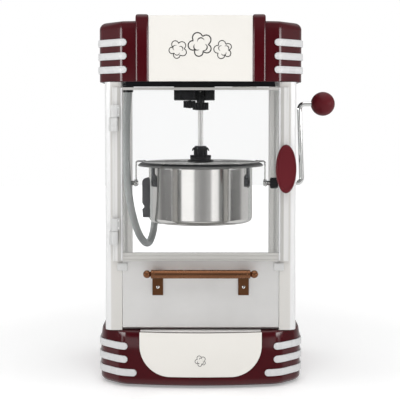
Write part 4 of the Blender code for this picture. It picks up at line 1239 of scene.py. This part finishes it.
def make_rim():
    bottom = low("kettle_rim").z
    # A dark crown, then a grey skirt that draws back in below its edge
    crown = [(RIM_HOLE, RIM_TOP - 0.0004), (RIM_HOLE + 0.0004, RIM_TOP), (0.0848, RIM_TOP)]
    crown += [(0.0864, RIM_TOP - 0.0006), (0.0882, RIM_TOP - 0.0016), (0.0882, RIM_TOP - 0.002)]
    crown.append((RIM_HOLE, RIM_TOP - 0.002))
    dress(lathe("rim_crown", crown, KETTLE, steps=128, closed=True), "black", "kettle")
    profile = [(RIM_HOLE, RIM_TOP - 0.0022), (0.0884, RIM_TOP - 0.0022), (0.089, RIM_TOP - 0.0025)]
    profile += [(RIM_RADIUS, RIM_TOP - 0.0032), (RIM_RADIUS, RIM_TOP - 0.0046), (0.0893, RIM_TOP - 0.005)]
    profile += [(0.082, bottom + 0.0001), (0.0815, bottom), (RIM_HOLE, bottom)]
    ring = lathe("rim_ring", profile, KETTLE, steps=128, closed=True)
    # The cross bar, with the hole for the stirrer's shaft
    reach, half = 0.0708, 0.014
    loops = [box_outline((-reach, KETTLE.y - half), (reach, KETTLE.y + half)), circle(KETTLE.xy, 0.0042, 32)]
    bar = plate("rim_bar", loops, bottom, RIM_TOP)
    dress(merged("rim", ring, bar), "rim", "kettle", "kettle_rim")


def make_lids():
    bar_edge = 0.0147
    for name, side in (("front", -1), ("rear", 1)):
        node = f"lid_flap_{name}"
        bottom, top = low(node).z, high(node).z
        outline = half_disc(LID_RADIUS, bar_edge, side, 0.0218)
        inner = half_disc(LID_RADIUS - 0.003, 0.0166, side, 0.024)
        pieces = [plate(f"lid_sheet_{name}", [outline], bottom, top - 0.0003, "Z", 0.0003)]
        pieces.append(plate(f"lid_crown_{name}", [inner], top - 0.0005, top, "Z", 0.00025))
        # Rolled hinge barrels beside the cross bar
        for k, hand in enumerate((-1, 1)):
            line = [(hand * x, KETTLE.y + side * bar_edge, bottom + 0.0009) for x in (0.03, 0.052)]
            pieces.append(tube(f"barrel_{name}_{k}", line, 0.0009, 16))
        dress(merged(f"lid_{name}", *pieces), "lid", f"lid_{name}", node)


def make_hub():
    """The black drive hub on the rim's cross bar: flange, blocks, splined barrel and hooked wings."""
    bore, y = 0.0041, KETTLE.y
    base, top = low("drive_hub").z, high("drive_hub").z
    flange = [(bore, base), (0.0188, base), (0.0188, base + 0.0026), (0.0182, base + 0.0032)]
    flange += [(0.015, base + 0.0036), (0.015, base + 0.007), (0.0144, base + 0.0076), (bore, base + 0.0076)]
    pieces = [lathe("hub_flange", flange[::-1], KETTLE, steps=72, closed=True)]
    ribs, outline = 10, []
    for k in range(ribs * 8):
        a = tau * (k + 0.5) / (ribs * 8)
        reach = 0.0098 if cos(a * ribs) > 0 else 0.0074
        outline.append((reach * cos(a), y + reach * sin(a)))
    outline = [outline, circle((0, y), bore, 32)]
    pieces.append(plate("hub_barrel", outline, base + 0.007, top - 0.0045, "Z", 0.0002))
    wide, foot = 0.0085, top - 0.0062
    collar = [(bore, top), (0.0078, top), (wide, top - 0.0007), (wide, foot), (bore, foot)]
    pieces.append(lathe("hub_collar", collar, KETTLE, steps=48, closed=True))
    # Wings: curved hooks that leave the collar and turn down
    wing = ((0.007, 0.0012), (0.0098, 0.002), (0.012, 0.0042), (0.0125, 0.0074))
    wing += ((0.0112, 0.0072), (0.0102, 0.0056), (0.0088, 0.0048), (0.007, 0.0046))
    for k, side in enumerate((-1, 1)):
        x0, x1 = sorted((side * wide, side * 0.015))
        pieces.append(block(f"hub_block_{k}", (x0, y - 0.0045, base + 0.006), (x1, y + 0.0045, base + 0.0102)))
        shape = [(side * x, top - drop) for x, drop in wing]
        pieces.append(plate(f"hub_wing_{k}", [shape], y - 0.0042, y + 0.0042, "Y"))
    dress(merged("hub", *pieces), "black", "kettle", "drive_hub")


def make_hangers():
    """Wire hangers from the rim to the pivots, each with an eye, two washers and a screw on the rim."""
    wire_z = RIM_TOP + 0.0017
    screw_x, hang_x = 0.0813, 0.0931
    eye = 0.0046
    for name, side in HANDS:
        route = [(side * (screw_x - 0.001), KETTLE.y, wire_z), (side * hang_x, KETTLE.y, wire_z)]
        route.append((side * hang_x, KETTLE.y, PIVOT_Z + 0.004))
        pieces = [tube(f"wire_{name}", spaced(bent(route, 0.003, 8), 0.004), 0.0011, 16)]
        turn = [radians(a) for a in range(0, 361, 15)]
        loop = [(side * (hang_x + 0.0004), KETTLE.y + eye * sin(a), PIVOT_Z + eye * cos(a)) for a in turn]
        pieces.append(tube(f"eye_{name}", loop, 0.001, 12))
        # The right washers sit on the crank rod, so they have a bore.
        bore = 0.0036 if side > 0 else 0
        washer = [(bore, -0.0004), (0.0052, -0.0004), (0.0055, 0), (0.0052, 0.0004), (bore, 0.0004)]
        for k, offset in enumerate((-0.0016, 0.0024)):
            place = (side * (hang_x + offset), KETTLE.y, PIVOT_Z)
            pieces.append(lathe(f"washer_{name}_{k}", washer, place, "X", 32, closed=side > 0))
        if name == "left":
            pin = [(0, 0.118), (0.0029, 0.118), (0.0035, 0.1174), (0.0035, 0.0905), (0.003, 0.09), (0, 0.09)]
            pieces.append(lathe("pin_left", [(r, -x) for r, x in pin], PIVOT, "X", 32))
        dress(merged(f"hanger_wire_{name}", *pieces), "chrome", "kettle", f"hanger_{name}")
        place = (side * screw_x, KETTLE.y, RIM_TOP + 0.0003)
        screw(f"rim_screw_{name}", place, "Z", 0.0033, "chrome", "kettle", 0.003)


def make_connector():
    """Grey plug housing on the pot's left flank, with a notch."""
    node = "kettle_connector"
    bottom, top = low(node).z, high(node).z
    outer, inner, crown = 0.0848, POT_RADIUS + GAP, 0.007
    # How far the outer wall pulls in at each height
    levels = [(bottom, 0.0012), (bottom + 0.012, 0), (bottom + 0.0145, 0.0028), (bottom + 0.0165, 0.0028)]
    levels.append((bottom + 0.021, 0))
    levels += [(top - crown * (1 - sin(a)), crown * (1 - cos(a))) for a in quarter(6)]
    rings = []
    for z, pull in levels:
        outline = arc((0, KETTLE.y), outer - pull, 140.2, 176.8, 16) + arc((0, KETTLE.y), inner, 178, 139, 16)
        rings.append([(point.x, point.y, z) for point in outline])
    body = soften(new_object("plug_body", loft(rings)), 0.0008, 2, 50)
    dress(shade(applied(body), 35), "cover", "kettle", node)


def make_crank():
    """The bent rod, and its ball with a short collar where the rod goes in and a bore behind it."""
    ball = centre("crank_knob")
    rod_z = 0.26
    route = [(x, KETTLE.y, z) for x, z in ((0.0905, rod_z), (0.1461, rod_z), (0.1421, 0.374))]
    way = (ball - Vector(route[-1])).normalized()
    route.append(ball - way * 0.006)
    dress(tube("crank", spaced(bent(route, 0.0075, 16), 0.006), 0.0035, 32), "chrome", "kettle", "crank_rod")

    size, mouth, bore = 0.0172, 0.0048, 0.0038
    angles = [radians(a) for a in range(4, 181, 4)]
    profile = [(0, size)] + [(size * sin(a), size * cos(a)) for a in angles if size * sin(a) > mouth or a < 1]
    end = profile[-1][1]
    profile += [(0.0046, end - 0.0006), (0.004, end - 0.0006), (bore, end + 0.003)]
    profile += [(bore, -0.0056), (0, -0.0056)]
    knob = lathe("crank_ball", profile, (0, 0, 0), steps=72)
    knob = moved(knob, ball, way.to_track_quat("Z", "Y").to_euler())
    dress(shade(knob, 35), "grip", "kettle", "crank_knob")


# ---------------------------------------------------------------- drive


def gear(name, teeth, middle, turn, bottom, top, bore, body, node, collar=None):
    """A spur gear with tapered teeth and a recessed web; a collar is given as its radius and its top."""
    module = 0.0013
    pitch = module * teeth / 2
    tooth = 360 / teeth
    outer, root = pitch + 0.85 * module, pitch - 1.2 * module
    outline = []
    flank = ((root, -0.36), (root + 0.3 * module, -0.3), (pitch, -0.22), (outer, -0.12))
    for i in range(teeth):
        for radius, share in (*flank, *((r, -s) for r, s in reversed(flank))):
            a = radians(turn + (i + share) * tooth)
            outline.append(Vector((middle.x + radius * cos(a), middle.y + radius * sin(a))))
    pieces = [plate(f"{name}_teeth", [outline, circle(middle, bore, 32)], bottom, top, "Z", 0.0002)]
    if collar:
        radius, height = collar
        profile = [(bore, height), (radius - 0.0005, height), (radius, height - 0.0005)]
        profile += [(radius, top - 0.0006), (bore, top - 0.0006)]
        pieces.append(lathe(f"{name}_collar", profile, (*middle, 0), steps=40, closed=True))
    web = [(bore, bottom + 0.0002), (root - 0.0028, bottom + 0.0002), (root - 0.0026, bottom - 0.0004)]
    web += [(root - 0.0012, bottom - 0.0004), (root - 0.001, bottom + 0.0002), (root - 0.001, bottom + 0.001)]
    web.append((bore, bottom + 0.001))
    pieces.append(lathe(f"{name}_web", web[::-1], (*middle, 0), steps=40, closed=True))
    return dress(merged(name, *pieces), "black", body, node)


def make_drive():
    motor, shaft = centre("motor_gear").xy, KETTLE.xy
    pinion_top, wheel_top = 0.3787, 0.3761  # of the teeth; the spindle and the collar rise above them
    way = degrees(atan2(shaft.y - motor.y, shaft.x - motor.x))
    bottom, top = low("motor_gear").z, high("motor_gear").z
    gear("pinion", 12, motor, way, bottom, pinion_top, 0.0018, "motor_drive", "motor_gear")
    spindle = [(0, top), (0.0023, top), (0.0025, top - 0.0003), (0.0025, 0.378), (0.0018, 0.378)]
    spindle += [(0.0018, bottom - 0.001), (0.0014, bottom - 0.0013), (0, bottom - 0.0013)]
    bottom, top = low("shaft_gear").z, high("shaft_gear").z
    teeth = 16
    turn = way + 180 + 180 / teeth
    collar = (0.0058, top)
    gear("shaft_wheel", teeth, shaft, turn, bottom, wheel_top, 0.004, "stirrer", "shaft_gear", collar)
    dress(lathe("pinion_spindle", spindle, (*motor, 0), steps=32), "satin", "motor_drive")

    lowest, highest = ends_of("stirrer_shaft")
    radius, arm_z = 0.0037, 0.2215
    rod = [(0, highest.z), (radius - 0.0004, highest.z), (radius, highest.z - 0.0004)]
    rod += [(radius, lowest.z + 0.0006), (radius - 0.0006, lowest.z), (0, lowest.z)]
    rod = lathe("shaft_rod", rod, KETTLE, steps=40)
    arms = [(x * highest.x, KETTLE.y, arm_z) for x in (-1, -0.6, -0.2, 0.2, 0.6, 1)]
    arms = tube("arms", arms, 0.0019, 16)
    dress(merged("stirrer", rod, arms), "satin", "stirrer", "stirrer_shaft")
    make_housing(motor)


def make_housing(motor):
    """The black gear housing: a slot open to the front for the shaft, ribs and rails on its two faces."""
    (x0, y0, z0), (x1, y1, z1) = ends_of("gear_housing")
    slot, slot_back = 0.0075, KETTLE.y + 0.0085
    outline = [(x0, y0, 0.002), (-slot, y0, 0.0008), (-slot, slot_back, 0.003), (slot, slot_back, 0.003)]
    outline += [(slot, y0, 0.0008), (x1, y0, 0.002), (x1, y1, 0.002), (x0, y1, 0.002)]
    pieces = [plate("housing_body", [rounded(outline), circle(motor, 0.0029, 32)], z0, z1, "Z", 0.0007, 3)]
    front, back = y0 - 0.0003, y0 + 0.001
    for k, x in enumerate((x0 + 0.0022, -slot - 0.0022, slot + 0.0022, x1 - 0.0022)):
        corners = (x - 0.0004, front, z0 + 0.002), (x + 0.0004, back, z1 - 0.001)
        pieces.append(block(f"housing_rib_{k}", *corners, 0.0002, 1))
    faces = ((x0 + 0.002, -slot - 0.002), (slot + 0.002, x1 - 0.002))
    for k, (z, (start, end)) in enumerate((z, face) for z in (z0 + 0.0018, z1 - 0.0028) for face in faces):
        pieces.append(block(f"housing_rail_{k}", (start, front, z), (end, back, z + 0.0008), 0.0002, 1))
    dress(merged("housing", *pieces), "black", "cabinet", "gear_housing")
    screw_z = 0.3925
    screw("housing_screw", (0, slot_back, screw_z), "-Y", 0.0022, "chrome", "cabinet", 0.0012)


# ---------------------------------------------------------------- lead

LEAD_RADIUS = 0.0052
LEAD_ROUTE = (
    (-0.102, -0.02, 0.3897), (-0.1034, -0.0205, 0.37), (-0.1046, -0.021, 0.342), (-0.105, -0.021, 0.306),
    (-0.1038, -0.0205, 0.27), (-0.1, -0.018, 0.235), (-0.0945, -0.012, 0.208), (-0.088, -0.001, 0.187),
    (-0.0805, 0.016, 0.1735), (-0.075, 0.035, 0.172), (-0.0706, 0.049, 0.184), (-0.0684, 0.0545, 0.2),
    (-0.068, 0.0549, 0.2095),
)


def make_lead():
    path = smooth(LEAD_ROUTE, 10)
    lead = tube("heater_lead", path, LEAD_RADIUS, 24)
    material, slot = LOOKS["sleeve"]
    lead.data.materials.append(material)
    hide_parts("kettle_lead")
    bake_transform(lead)
    make_lead_boot("lead_gland")


def make_lead_boot(node):
    """The ribbed boot where the lead leaves the head."""
    bottom, top, bore = low(node).z, high(node).z, LEAD_RADIUS + 0.0002
    profile = [(bore, top), (0.008, top), (0.008, 0.3988), (0.0076, 0.3984)]
    for k in range(4):
        z, wide = 0.3974 - 0.0019 * k, 0.0078 - 0.0002 * k
        profile += [(wide, z), (wide, z - 0.001), (wide - 0.0008, z - 0.0013), (wide - 0.0008, z - 0.0016)]
    profile += [(0.0064, bottom), (bore, bottom)]
    boot = lathe("lead_boot", profile, (*centre(node).xy, 0), steps=40, closed=True)
    dress(boot, "black", "cabinet", node)


# ---------------------------------------------------------------- back of the head


def make_switches():
    for name in ("light", "kettle"):
        node = f"{name}_rocker"
        keep(node, "black", 0.0005)
        lowest, highest = ends_of(node)
        x, z = (lowest.x + highest.x) / 2, (lowest.z + highest.z) / 2
        sizes = ((0.0095, 0.012, 0.002), (0.0069, 0.0091, 0.0006))
        ring = [box_outline((x - wide, z - tall), (x + wide, z + tall), radius) for wide, tall, radius in sizes]
        dress(plate(f"{name}_bezel", ring, BACK + 0.0002, BACK + 0.002, "Y", 0.0005), "black", "cabinet")


# The camera and the lead come first.
MAKERS = (
    make_camera, make_lead, make_studio, make_head, make_base, make_panels, make_ornaments,
    make_strips, make_posts, make_bushes, make_door, make_flap, make_pot, make_rim, make_lids,
    make_hub, make_hangers, make_connector, make_crank, make_drive, make_switches,
)
for make in MAKERS:
    make()
